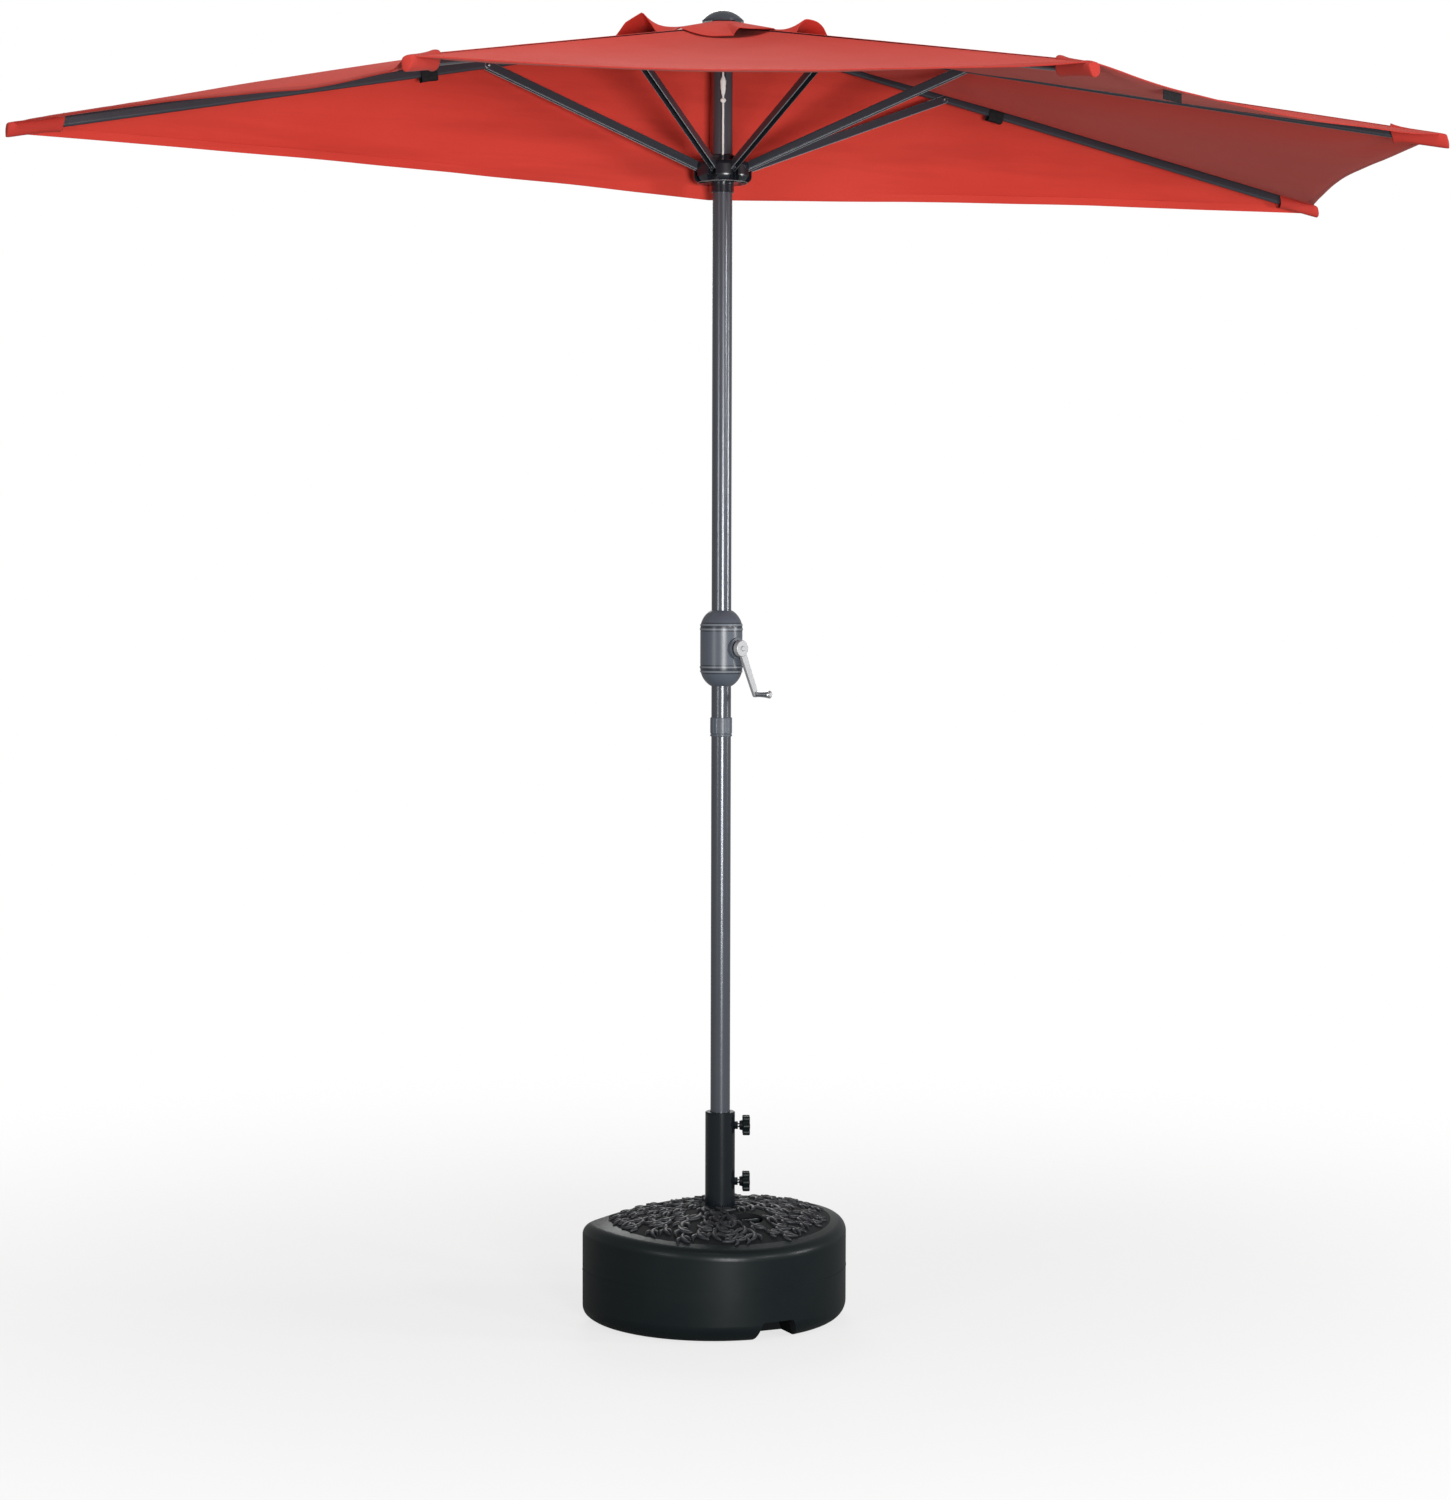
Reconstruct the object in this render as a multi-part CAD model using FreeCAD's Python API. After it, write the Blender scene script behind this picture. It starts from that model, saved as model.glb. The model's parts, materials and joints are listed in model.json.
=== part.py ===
import FreeCAD, Part
import math
import os

from FreeCAD import Vector

# Half-round balcony umbrella on a half-round fillable base, with a crank lift.
# Millimetres. The origin is on the pole axis at floor level and +Z is up. The flat side of the
# canopy and of the base faces a wall at +Y, and the round side reaches towards -Y.

# ---- fits and clearances ----
pin_clearance = 0.05          # radial, a pin in its hole
running_gap = 0.3             # between pieces that slide or turn past each other
seat_gap = 0.15               # between pieces that only rest together
cloth_gap = 0.3               # between two pieces of cloth, or cloth and frame

# ---- base tank ----
tank_radius = 240.0           # round side, in plan
tank_arc_back = 31.0          # centre of the round side, behind the pole
tank_flat_side = 97.0         # the flat side, behind the pole
tank_corner = 35.0
tank_top = 206.0              # highest point of the domed top
tank_crest_back = 29.0        # that point, behind the pole
tank_dome_front = 597.0       # radius of the top seen from the side
tank_dome_side = 850.0        # radius of the top seen from the front
tank_wall = 4.0
tank_top_edge = 20.0
tank_floor_edge = 30.0
parting_height = 92.0
parting_width = 1.6
parting_rise = 0.5
notch_width = 84.0            # hand notch under the front edge
notch_crown = 62.0
notch_height = 34.0
notch_depth = 80.0
notch_sideways = 19.0         # middle of the notch from the middle of the tank
notch_round = 8.0
well_floor = 16.0             # bottom of the socket that holds the sleeve

# ---- filler plug ----
plug_forward = 88.0           # from the pole towards the front
plug_sideways = 18.5
plug_radius = 20.0
plug_neck_radius = 14.0
plug_neck_length = 16.0
plug_flange = 4.0
plug_recess_radius = 23.5
plug_recess_floor = 177.0
plug_grip_length = 34.0
plug_grip_width = 7.0
plug_grip_height = 9.0
seal_section = 1.6

# ---- sleeve and clamp screws ----
sleeve_radius = 26.6
sleeve_wall = 1.8
sleeve_top = 369.0
liner_lip = 3.0
liner_depth = 14.0
foot_cup_height = 34.0
foot_cup_floor = 6.0
clamp_azimuth = -22.5
clamp_heights = {"upper": 347.0, "lower": 246.0}
screw_radius = 4.0
screw_pitch = 1.25
nut_across_flats = 13.0
nut_thickness = 5.0
knob_standoff = 3.0           # bare thread between nut and knob
knob_hub_radius = 8.0
knob_hub_length = 5.5
knob_head_length = 13.0
knob_radius = 19.2
knob_lobes = 6
knob_lobe_radius = 5.4
knob_edge = 2.0

# ---- pole ----
pole_radius = 17.5
pole_wall = 1.2
foot_height = 26.0            # lowest point of the pole in its sleeve
foot_cap_height = 5.0
foot_cap_plug = 20.0
collar_bottom = 1044.0
collar_top = 1078.0
collar_radius = 19.5
collar_ledge = 2.0
collar_seat_depth = 16.0      # how deep the upper pole stands in the collar
collar_flutes = 16
flute_radius = 2.2
flute_bite = 0.5
spigot_wall = 1.5
spigot_above = 80.0
spigot_below = 70.0
rivet_radius = 2.5
rivet_head_radius = 4.5
rivet_head_height = 1.4
spigot_rivet_drop = (25.0, 50.0)

# ---- crank housing ----
crank_above_joint = 123.0     # crank axle above the pole's joint
crank_azimuth = 292.5
housing_radius = 37.5
housing_length = 134.0
housing_wall = 3.0
housing_shoulder = 33.0       # length of each rounded end
housing_mouth = 1.5           # wall round the pole at each end
housing_ring_offsets = (33.5, 41.5)
ring_width = 3.4
ring_rise = 0.9
housing_screw_radius = 2.0
housing_screw_head = 3.6
housing_screw_spread = 25.5   # sideways from the pole
housing_screw_rise = 32.0     # above and below the axle
crank_boss_radius = 19.0
crank_boss_reach = 40.0
crank_boss_recess = 4.0
axle_radius = 4.0
axle_back = 33.0
bush_radius = 7.0
bush_length = 9.0
drum_core_radius = 7.5
drum_flange_radius = 12.0
drum_flange = 2.0
drum_length = 27.0
pole_window_radius = 14.0

# ---- crank arm and grip ----
arm_swing = 25.0              # arm's angle from straight down at rest
arm_length = 90.0
arm_hub_radius = 14.5
arm_hub_edge = 1.5
arm_hub_length = 10.0
arm_thickness = 6.5
arm_edge = 1.2
arm_set_back = 2.0            # the bar starts this far outside the hub's inner face
arm_width_inner = 14.0
arm_width_outer = 11.0
arm_start = 42.0              # inner face of the hub from the pole axis
grip_length = 32.0
grip_root_radius = 5.0
grip_radius = 7.0             # at the outer end
grip_waist = 5.3
grip_edge = 1.5
grip_pin_radius = 2.5
grip_head_radius = 4.8
grip_head_height = 2.0

# ---- lift cord and pulley ----
cord_radius = 1.5
cord_azimuth = 247.5
cord_reach = 20.6             # outer run of the cord from the pole axis
pulley_below_crown = 51.0     # pulley pin below the rib hinges
pulley_groove_radius = 8.0
pulley_flange_radius = 10.0
pulley_width = 6.0
pulley_pin_radius = 2.0
pulley_slot_width = 8.4
pulley_slot_height = 46.0
cord_hole_depth = 12.0
splice_drop = 20.0            # the spliced eye of the cord starts this far under the pulley
splice_length = 34.0
splice_radius = 3.4
knot_drop = 9.0               # knot below the splice
knot_radius = 2.8

# ---- crown ----
crown_pin_height = 2277.0
crown_pin_reach = 30.0        # rib hinge pins from the pole axis
crown_radius = 43.0
crown_rise = 19.0             # top of the crown hub above the rib hinges
crown_plate = 5.0
crown_drop = 16.0
crown_skirt_radius = 36.0
crown_skirt_height = 7.0
hinge_pin_radius = 2.5
hinge_pin_length = 24.0
washer_radius = 19.5
washer_thickness = 5.0
finial_radius = 37.0
finial_height = 26.0          # top of the finial above the crown hub
finial_rim = 4.0
finial_roof = 5.0
finial_stud_radius = 4.0
finial_stud_depth = 22.0
finial_nut_height = 6.0

# ---- ribs ----
rib_azimuths = {"a": 180.0, "b": 225.0, "c": 270.0, "d": 315.0, "e": 0.0}
rib_step = 45.0
canopy_radius = 1250.0        # rib tips from the pole axis
rib_slope = 11.22             # degrees below level when open
rib_folded = 85.0             # degrees below level when closed
rib_width = 10.0
rib_depth = 18.0
rib_corner = 4.5
rib_wall = 1.2
rib_rise = 4.0                # tube centre above the line through its pivots
rib_eye_radius = 9.0
rib_solid_end = 16.0          # length of the flattened inner end
rib_tip_length = 16.0
rib_tip_insert = 18.0
rib_slot_gap = 0.3

# ---- struts and runner ----
strut_joint_reach = 440.0     # strut rivets from the pole axis
strut_wall = 1.2
strut_half_depth = 8.0
strut_fold_edge = 3.0
strut_web_trim = 34.0         # web cut back so that the rib can nest in the strut
runner_pin_drop = 232.0       # strut pins below the rib hinges, canopy open
runner_pin_reach = 40.0
runner_pin_extra = 3.0        # pin ends beyond each cheek of the strut
runner_radius = 52.0
runner_below_pin = 25.0
runner_above_pin = 22.0
runner_foot_round = 13.0      # roundings of the lobes' outer edges
runner_head_round = 9.0
runner_core_radius = 29.0
runner_dish = 9.0
bush_wall = 2.2
bush_below_hub = 16.0
bush_collar = 3.0
groove_out = 8.6              # how far the pin groove opens outwards

# ---- canopy ----
cloth = 1.6
cloth_over_rib = 0.3
canopy_hole = 90.0            # open centre under the vent cap, along a rib
hem_sag = 42.0                # the hem's inward curve at mid-panel
curtain_cloth = 1.5
curtain_rib_gap = 1.4
curtain_back_top = 46.0
curtain_back_bottom = 60.0
curtain_depth = 279.0         # hem at mid-width below the rib hinges
curtain_tip_drop = 14.0
vent_reach = 215.0
vent_inner = 22.0
vent_lift = 3.0

# ---- worked out from the above ----
crank_height = collar_top + crank_above_joint
crown_top = crown_pin_height + crown_rise
crown_bottom = crown_pin_height - crown_drop
finial_top = crown_top + finial_height
pulley_height = crown_pin_height - pulley_below_crown
splice_top = pulley_height - splice_drop
splice_bottom = splice_top - splice_length
knot_height = splice_bottom - knot_drop
runner_pin_height = crown_pin_height - runner_pin_drop
runner_bottom = runner_pin_height - runner_below_pin
runner_top = runner_pin_height + runner_above_pin
bush_bottom = runner_bottom - bush_below_hub
curtain_hem_mid = crown_pin_height - curtain_depth
slope = math.radians(rib_slope)
strut_width = rib_width + 2 * seat_gap + 2 * strut_wall
strut_slot = strut_width + 2 * running_gap
rib_length = (canopy_radius - crown_pin_reach) / math.cos(slope)
strut_joint_along = (strut_joint_reach - crown_pin_reach) / math.cos(slope)
strut_joint_height = crown_pin_height - strut_joint_along * math.sin(slope)
strut_run = strut_joint_reach - runner_pin_reach
strut_drop = strut_joint_height - runner_pin_height
strut_length = math.hypot(strut_run, strut_drop)
strut_slope = math.degrees(math.atan2(strut_drop, strut_run))
fold_turn = math.radians(rib_folded - rib_slope)
folded_reach = crown_pin_reach + strut_joint_along * math.cos(math.radians(rib_folded))
folded_height = crown_pin_height - strut_joint_along * math.sin(math.radians(rib_folded))
folded_offset = folded_reach - runner_pin_reach
folded_runner = folded_height - math.sqrt(strut_length ** 2 - folded_offset ** 2)
folded_strut_slope = math.degrees(math.asin((folded_height - folded_runner) / strut_length))
runner_travel = runner_pin_height - folded_runner
pole_inner = pole_radius - pole_wall
sleeve_inner = sleeve_radius - sleeve_wall
well_radius = sleeve_radius + running_gap
ledge_height = collar_top - collar_seat_depth
clamp_heights_all = tuple(clamp_heights.values())
housing_bottom = crank_height - housing_length / 2
housing_top = crank_height + housing_length / 2
pulley_reach = cord_reach - cord_radius - pulley_groove_radius
cord_inner_reach = pulley_reach - pulley_groove_radius - cord_radius
up = Vector(0, 0, 1)
origin = Vector(0, 0, 0)
side = Vector(0, 1, 0)
along = Vector(1, 0, 0)

written = []


def write(name, *solids):
    """Write one node as one STEP file, from one solid or a group of separate solids."""
    shape = solids[0] if len(solids) == 1 else Part.makeCompound(list(solids))
    shape.exportStep(os.path.join("parts", name + ".step"))
    written.append((name, len(shape.Solids), shape.isValid()))


def radial(azimuth):
    angle = math.radians(azimuth)
    return Vector(math.cos(angle), math.sin(angle), 0)


def turned(shape, azimuth):
    """A copy of a shape made along +X, turned about the pole axis to an azimuth."""
    copy = shape.copy()
    copy.rotate(origin, up, azimuth)
    return copy


def rod(radius, start, end):
    return Part.makeCylinder(radius, start.distanceToPoint(end), start, end - start)


def ring(outer, inner, bottom, top):
    length = top - bottom
    body = Part.makeCylinder(outer, length, Vector(0, 0, bottom))
    return body.cut(Part.makeCylinder(inner, length, Vector(0, 0, bottom)))


def prism(points, direction):
    return Part.Face(Part.makePolygon(points + points[:1])).extrude(direction)


def spun(edges, centre=origin, axis=up):
    """A full turn of a closed profile of edges about an axis."""
    return Part.Face(Part.Wire(edges)).revolve(centre, axis, 360)


def spun_points(points):
    """A full turn about the pole axis of a closed profile of (radius, height) points."""
    corners = [Vector(radius, 0, height) for radius, height in points]
    return Part.Face(Part.makePolygon(corners + corners[:1])).revolve(origin, up, 360)


def line(first, second):
    return Part.LineSegment(first, second).toShape()


def arc(first, middle, last):
    return Part.Arc(first, middle, last).toShape()


def edges_at(shape, low, high):
    """Edges that lie wholly between two heights and are not upright."""
    found = []
    for edge in shape.Edges:
        box = edge.BoundBox
        if box.ZMin >= low and box.ZMax <= high and box.ZLength < max(box.XLength, box.YLength):
            found.append(edge)
    return found


def edges_along_x(shape):
    return [edge for edge in shape.Edges
            if edge.BoundBox.XLength > edge.BoundBox.YLength + edge.BoundBox.ZLength]


# ---- base tank ----

def tank_outline(inset, height):
    """The half-round plan as a face: a big arc, a flat side and two rounded corners."""
    radius = tank_radius - inset
    corner = tank_corner - inset
    flat = tank_flat_side - inset
    corner_back = flat - corner
    rise = corner_back - tank_arc_back
    corner_side = math.sqrt((radius - corner) ** 2 - rise ** 2)
    touch = radius / (radius - corner)
    centre = Vector(0, tank_arc_back, height)
    right_centre = Vector(corner_side, corner_back, height)
    right_touch = centre + (right_centre - centre) * touch
    right_flat = Vector(corner_side, flat, height)
    bisector = ((right_touch - right_centre) + (right_flat - right_centre)).normalize()
    right_mid = right_centre + bisector * corner
    mirror = lambda point: Vector(-point.x, point.y, point.z)
    front = Vector(0, tank_arc_back - radius, height)
    return Part.Face(Part.Wire([
        arc(mirror(right_touch), front, right_touch),
        arc(right_touch, right_mid, right_flat),
        line(right_flat, mirror(right_flat)),
        arc(mirror(right_flat), mirror(right_mid), mirror(right_touch))]))


def tank_form(inset):
    """The tank's closed outer shape, moved inwards by an inset."""
    column = tank_outline(inset, inset).extrude(Vector(0, 0, tank_top))
    reach = tank_radius + tank_corner
    axis_height = tank_top - tank_dome_front
    crown = axis_height + tank_dome_front - inset
    dip = tank_dome_side - math.sqrt(tank_dome_side ** 2 - reach ** 2)
    left = Vector(-reach, tank_crest_back, crown - dip)
    right = Vector(reach, tank_crest_back, crown - dip)
    barrel = spun(
        [arc(left, Vector(0, tank_crest_back, crown), right),
         line(right, Vector(reach, tank_crest_back, axis_height)),
         line(Vector(reach, tank_crest_back, axis_height),
              Vector(-reach, tank_crest_back, axis_height)),
         line(Vector(-reach, tank_crest_back, axis_height), left)],
        Vector(0, tank_crest_back, axis_height), along)
    form = column.common(barrel)
    form = form.makeFillet(tank_top_edge - inset, edges_at(form, parting_height, tank_top))
    return form.makeFillet(tank_floor_edge - inset, edges_at(form, 0, inset + 1))


def notch_form(grow):
    """The hand notch: an upright trapezoid with a rounded crown, cut into the round side."""
    front = tank_arc_back - tank_radius
    foot = notch_width / 2 + grow
    crown = notch_crown / 2 + grow
    top = notch_height + grow
    start = front - tank_wall
    block = prism([Vector(-foot, start, -1), Vector(foot, start, -1),
                   Vector(crown, start, top), Vector(-crown, start, top)],
                  Vector(0, notch_depth + grow + tank_wall, 0))
    block = block.makeFillet(notch_round, [edge for edge in block.Edges
                                           if edge.BoundBox.ZMin > top - 1
                                           and edge.BoundBox.YLength > notch_depth])
    block.translate(Vector(notch_sideways, 0, 0))
    return block


def plug_axis(height):
    return Vector(plug_sideways, -plug_forward, height)


def cavity_form(inset):
    """The space inside the tank, clear of the well, the notch and the filler neck."""
    form = tank_form(tank_wall + inset)
    well = Part.makeCylinder(well_radius + tank_wall + inset, tank_top + 1)
    neck_radius = plug_recess_radius + tank_wall + inset
    neck_bottom = plug_recess_floor - plug_neck_length - tank_wall - inset
    neck = Part.makeCylinder(neck_radius, tank_top - neck_bottom, plug_axis(neck_bottom))
    return form.cut(well).cut(notch_form(tank_wall + inset)).cut(neck)


def base_tank():
    body = tank_form(0)
    seam = tank_outline(-parting_rise, parting_height).extrude(Vector(0, 0, parting_width))
    body = body.fuse(seam).cut(cavity_form(0)).cut(notch_form(0))
    well = Part.makeCylinder(well_radius, tank_top, Vector(0, 0, well_floor))
    recess = Part.makeCylinder(plug_recess_radius, tank_top, plug_axis(plug_recess_floor))
    mouth = Part.makeCylinder(plug_neck_radius + running_gap, tank_top,
                              plug_axis(plug_recess_floor - plug_neck_length - tank_wall - 1))
    return body.cut(well).cut(recess).cut(mouth).removeSplitter()


def filler_plug():
    flange_bottom = plug_recess_floor + seal_section
    flange_top = flange_bottom + plug_flange
    neck = Part.makeCylinder(plug_neck_radius, plug_neck_length,
                             plug_axis(flange_bottom - plug_neck_length))
    flange = Part.makeCylinder(plug_radius, plug_flange, plug_axis(flange_bottom))
    corner = plug_axis(flange_top) - Vector(plug_grip_length / 2, plug_grip_width / 2, 0)
    grip = Part.makeBox(plug_grip_length, plug_grip_width, plug_grip_height, corner)
    grip = grip.makeFillet(plug_grip_width / 3, [edge for edge in grip.Edges
                                                if edge.BoundBox.ZMin > flange_top])
    return flange.fuse([neck, grip]).removeSplitter()


def plug_seal():
    """The rubber ring under the plug's flange."""
    half = seal_section / 2 - seat_gap / 2
    centre_radius = plug_neck_radius + running_gap + seal_section
    return Part.makeTorus(centre_radius, half, plug_axis(plug_recess_floor + seal_section / 2))


# ---- sleeve and clamp screws ----

def clamp_rod(radius, start, end, height):
    """A rod along the clamp screws' direction, between two distances from the pole axis."""
    direction = radial(clamp_azimuth)
    lift = Vector(0, 0, height)
    return rod(radius, direction * start + lift, direction * end + lift)


def sleeve_tube():
    tube = ring(sleeve_radius, sleeve_inner, well_floor, sleeve_top)
    for height in clamp_heights_all:
        tube = tube.cut(clamp_rod(screw_radius + running_gap, 0, sleeve_radius * 2, height))
    return tube


def weld_nut(height):
    corner = nut_across_flats / math.sqrt(3)
    start = math.sqrt(sleeve_radius ** 2 - corner ** 2)
    end = sleeve_radius + nut_thickness
    points = [Vector(start, corner * math.cos(math.radians(60 * i)),
                     height + corner * math.sin(math.radians(60 * i))) for i in range(6)]
    nut = prism(points, Vector(end - start, 0, 0))
    nut = nut.cut(Part.makeCylinder(sleeve_radius + pin_clearance, sleeve_top))
    nut = turned(nut, clamp_azimuth)
    return nut.cut(clamp_rod(screw_radius + pin_clearance, 0, end + 1, height))


def sleeve_liners():
    """The plastic lip that centres the pole at the top, and the cup that it stands in."""
    bore = pole_radius + running_gap
    fit = sleeve_inner - seat_gap
    lip_top = sleeve_top + liner_lip
    lip = spun_points([(bore, sleeve_top - liner_depth), (fit, sleeve_top - liner_depth),
                       (fit, sleeve_top + seat_gap), (sleeve_radius, sleeve_top + seat_gap),
                       (sleeve_radius, lip_top - 1), (sleeve_radius - 1, lip_top),
                       (bore + 1, lip_top), (bore, lip_top - 1)])
    bottom = well_floor + seat_gap
    floor = foot_height - seat_gap
    top = bottom + foot_cup_height
    cup = spun_points([(0, floor - foot_cup_floor), (0, floor), (bore, floor), (bore, top - 3),
                       (bore + 3, top), (fit, top), (fit, bottom), (0, bottom)])
    return lip, cup


def clamp_screw(height):
    """A stud with a dog point, from just off the pole into the knob."""
    tip = pole_radius + running_gap
    knob = sleeve_radius + nut_thickness + knob_standoff
    return clamp_rod(screw_radius, tip, knob + knob_hub_length, height)


def clamp_knob(height):
    hub_start = sleeve_radius + nut_thickness + knob_standoff
    head_start = hub_start + knob_hub_length
    head_end = head_start + knob_head_length
    centre = Vector(head_start, 0, 0)
    lobe_reach = knob_radius - knob_lobe_radius
    head = Part.makeCylinder(lobe_reach, knob_head_length, centre, along)
    for i in range(knob_lobes):
        angle = 2 * math.pi * i / knob_lobes
        spot = centre + Vector(0, math.cos(angle), math.sin(angle)) * lobe_reach
        head = head.fuse(Part.makeCylinder(knob_lobe_radius, knob_head_length, spot, along))
    head = head.removeSplitter()
    rims = [edge for edge in head.Edges if edge.BoundBox.XLength < 0.01]
    head = head.makeFillet(knob_edge, rims)
    hub = Part.makeCone(knob_hub_radius, knob_hub_radius + knob_edge, knob_hub_length + 1,
                        Vector(hub_start, 0, 0), along)
    knob = head.fuse(hub)
    knob = knob.cut(Part.makeCylinder(screw_radius + pin_clearance, knob_hub_length + pin_clearance,
                                      Vector(hub_start, 0, 0), along))
    knob.translate(Vector(0, 0, height))
    return turned(knob, clamp_azimuth)


# ---- lower pole ----

def lower_pole():
    tube_bottom = foot_height + foot_cap_height
    tube = ring(pole_radius, pole_inner, tube_bottom, ledge_height - collar_ledge)
    return tube.cut(rivet_holes())


def pole_foot_cap():
    tube_bottom = foot_height + foot_cap_height
    fit = pole_inner - seat_gap
    edge = 2.0
    return spun_points([(0, foot_height), (pole_radius - edge, foot_height),
                        (pole_radius, foot_height + edge), (pole_radius, tube_bottom),
                        (fit, tube_bottom), (fit, tube_bottom + foot_cap_plug - edge),
                        (fit - edge, tube_bottom + foot_cap_plug),
                        (0, tube_bottom + foot_cap_plug)])


def joint_collar():
    """A fluted plastic ring that caps the lower pole and seats the upper one."""
    lower_bore = pole_radius + pin_clearance
    upper_bore = pole_radius + running_gap
    inner = pole_inner
    ledge = ledge_height - collar_ledge
    bead = 1.0
    body = spun_points([
        (lower_bore, collar_bottom), (collar_radius - bead, collar_bottom),
        (collar_radius, collar_bottom + bead), (collar_radius, collar_bottom + 3 * bead),
        (collar_radius - bead, collar_bottom + 4 * bead),
        (collar_radius - bead, collar_bottom + 5 * bead),
        (collar_radius, collar_bottom + 6 * bead), (collar_radius, collar_top - bead),
        (collar_radius - bead, collar_top), (upper_bore, collar_top),
        (upper_bore, ledge_height), (inner, ledge_height), (inner, ledge), (lower_bore, ledge)])
    for i in range(collar_flutes):
        direction = radial(360.0 * i / collar_flutes)
        spot = direction * (collar_radius + flute_radius - flute_bite)
        flute = Part.makeCylinder(flute_radius, collar_top - collar_bottom - 9 * bead,
                                  spot + Vector(0, 0, collar_bottom + 7 * bead))
        body = body.cut(flute)
    return body


def joint_spigot():
    outer = pole_inner - running_gap
    tube = ring(outer, outer - spigot_wall, ledge_height - spigot_below,
                ledge_height + spigot_above)
    return tube.cut(rivet_holes())


def rivet_line(drop):
    return ledge_height - drop


def rivet_holes():
    holes = []
    for drop in spigot_rivet_drop:
        centre = Vector(0, 0, rivet_line(drop))
        holes.append(rod(rivet_radius + pin_clearance, centre, centre + side * pole_radius * 2))
    return Part.makeCompound(holes)


def spigot_rivets():
    rivets = []
    for drop in spigot_rivet_drop:
        centre = Vector(0, 0, rivet_line(drop))
        shank = rod(rivet_radius, centre + side * (pole_inner - running_gap - spigot_wall),
                    centre + side * (pole_radius + rivet_head_height / 2))
        head = Part.makeCone(rivet_head_radius, rivet_radius, rivet_head_height,
                             centre + side * pole_radius, side)
        rivets.append(shank.fuse(head.cut(Part.makeCylinder(
            pole_radius + pin_clearance, collar_top))))
    return rivets


# ---- upper pole and crank housing ----

def axle_rod(radius, start, end):
    """A rod along the crank axle, between two distances from the pole axis."""
    direction = radial(crank_azimuth)
    lift = Vector(0, 0, crank_height)
    return rod(radius, direction * start + lift, direction * end + lift)


def upper_pole():
    tube = ring(pole_radius, pole_inner, ledge_height + seat_gap, crown_top - crown_plate)
    tube = tube.cut(axle_rod(pole_window_radius, -housing_radius, housing_radius))
    slot = Part.makeBox(pole_radius * 2, pulley_slot_width, pulley_slot_height,
                        Vector(0, -pulley_slot_width / 2, pulley_height - pulley_slot_height / 2))
    slot = slot.makeFillet(pulley_slot_width / 2 - 0.01, edges_along_x(slot))
    tube = tube.cut(turned(slot, cord_azimuth))
    return tube.cut(pulley_rod(pulley_pin_radius + pin_clearance, 2 * pole_radius))


def housing_form(inset, bore):
    """A revolved capsule round the pole, moved inwards by an inset."""
    radius = housing_radius - inset
    bottom = housing_bottom + inset
    top = housing_top - inset
    shoulder = housing_shoulder - inset
    mouth = pole_radius + housing_mouth
    reach = radius - mouth
    dome = (shoulder ** 2 + reach ** 2) / (2 * reach)
    half_turn = math.asin(shoulder / dome) / 2

    def rounded(end, sense):
        inner = end - sense * shoulder
        middle = Vector(radius - dome * (1 - math.cos(half_turn)), 0,
                        inner + sense * dome * math.sin(half_turn))
        return Vector(mouth, 0, end), middle, Vector(radius, 0, inner)

    low_start, low_mid, low_end = rounded(bottom, -1)
    high_start, high_mid, high_end = rounded(top, 1)
    low_bore = Vector(bore, 0, bottom)
    high_bore = Vector(bore, 0, top)
    return spun([line(low_bore, low_start), arc(low_start, low_mid, low_end),
                 line(low_end, high_end), arc(high_end, high_mid, high_start),
                 line(high_start, high_bore), line(high_bore, low_bore)])


def housing_shells():
    bore = pole_radius + seat_gap
    shell = housing_form(0, bore)
    banded = housing_form(-ring_rise, bore)
    for offset in housing_ring_offsets:
        for sense in (-1, 1):
            foot = crank_height + sense * offset - ring_width / 2
            band = Part.makeCylinder(2 * housing_radius, ring_width, Vector(0, 0, foot))
            shell = shell.fuse(banded.common(band))
    shell = shell.cut(housing_form(housing_wall, 0.0))
    front_boss = axle_rod(crank_boss_radius, 0, crank_boss_reach)
    back_boss = axle_rod(bush_radius + housing_wall, -housing_radius + 1,
                         -housing_radius + bush_length + 2)
    clear = Part.makeCylinder(housing_radius - bush_length, housing_length,
                              Vector(0, 0, housing_bottom))
    shell = shell.fuse([front_boss.cut(clear), back_boss.cut(clear)])
    posts = []
    for centre in screw_spots():
        posts.append(screw_rod(centre, housing_screw_head, -screw_depth(), screw_depth()))
    shell = shell.fuse(posts)
    shell = shell.cut(axle_rod(crank_boss_radius - crank_boss_recess,
                               crank_boss_reach - crank_boss_recess, housing_radius * 2))
    shell = shell.cut(axle_rod(axle_radius + running_gap, 0, crank_boss_reach))
    shell = shell.cut(axle_rod(bush_radius + pin_clearance,
                               crank_boss_reach - crank_boss_recess - bush_length,
                               crank_boss_reach))
    shell = shell.cut(axle_rod(bush_radius + pin_clearance,
                               -housing_radius + housing_wall / 2,
                               -housing_radius + bush_length + 3))
    for centre in screw_spots():
        shell = shell.cut(screw_rod(centre, housing_screw_radius + pin_clearance,
                                    -housing_radius, screw_depth() - 2))
        shell = shell.cut(screw_rod(centre, housing_screw_head + pin_clearance,
                                    -housing_radius, -screw_depth() + 2))
    size = housing_radius * 2
    half_space = Part.makeBox(size, 2 * size, 2 * size,
                              Vector(seat_gap / 2, -size, crank_height - size))
    front = shell.common(turned(half_space, crank_azimuth))
    back = shell.common(turned(half_space, crank_azimuth + 180))
    return front, back


def screw_depth():
    """Half the housing's depth at the screws' place."""
    return math.sqrt((housing_radius - housing_wall) ** 2 - housing_screw_spread ** 2) - 2


def screw_spots():
    across = radial(crank_azimuth + 90)
    return [across * (sense * housing_screw_spread) + Vector(0, 0, crank_height + rise)
            for sense in (-1, 1) for rise in (-housing_screw_rise, housing_screw_rise)]


def screw_rod(centre, radius, start, end):
    direction = radial(crank_azimuth)
    return rod(radius, centre + direction * start, centre + direction * end)


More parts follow.
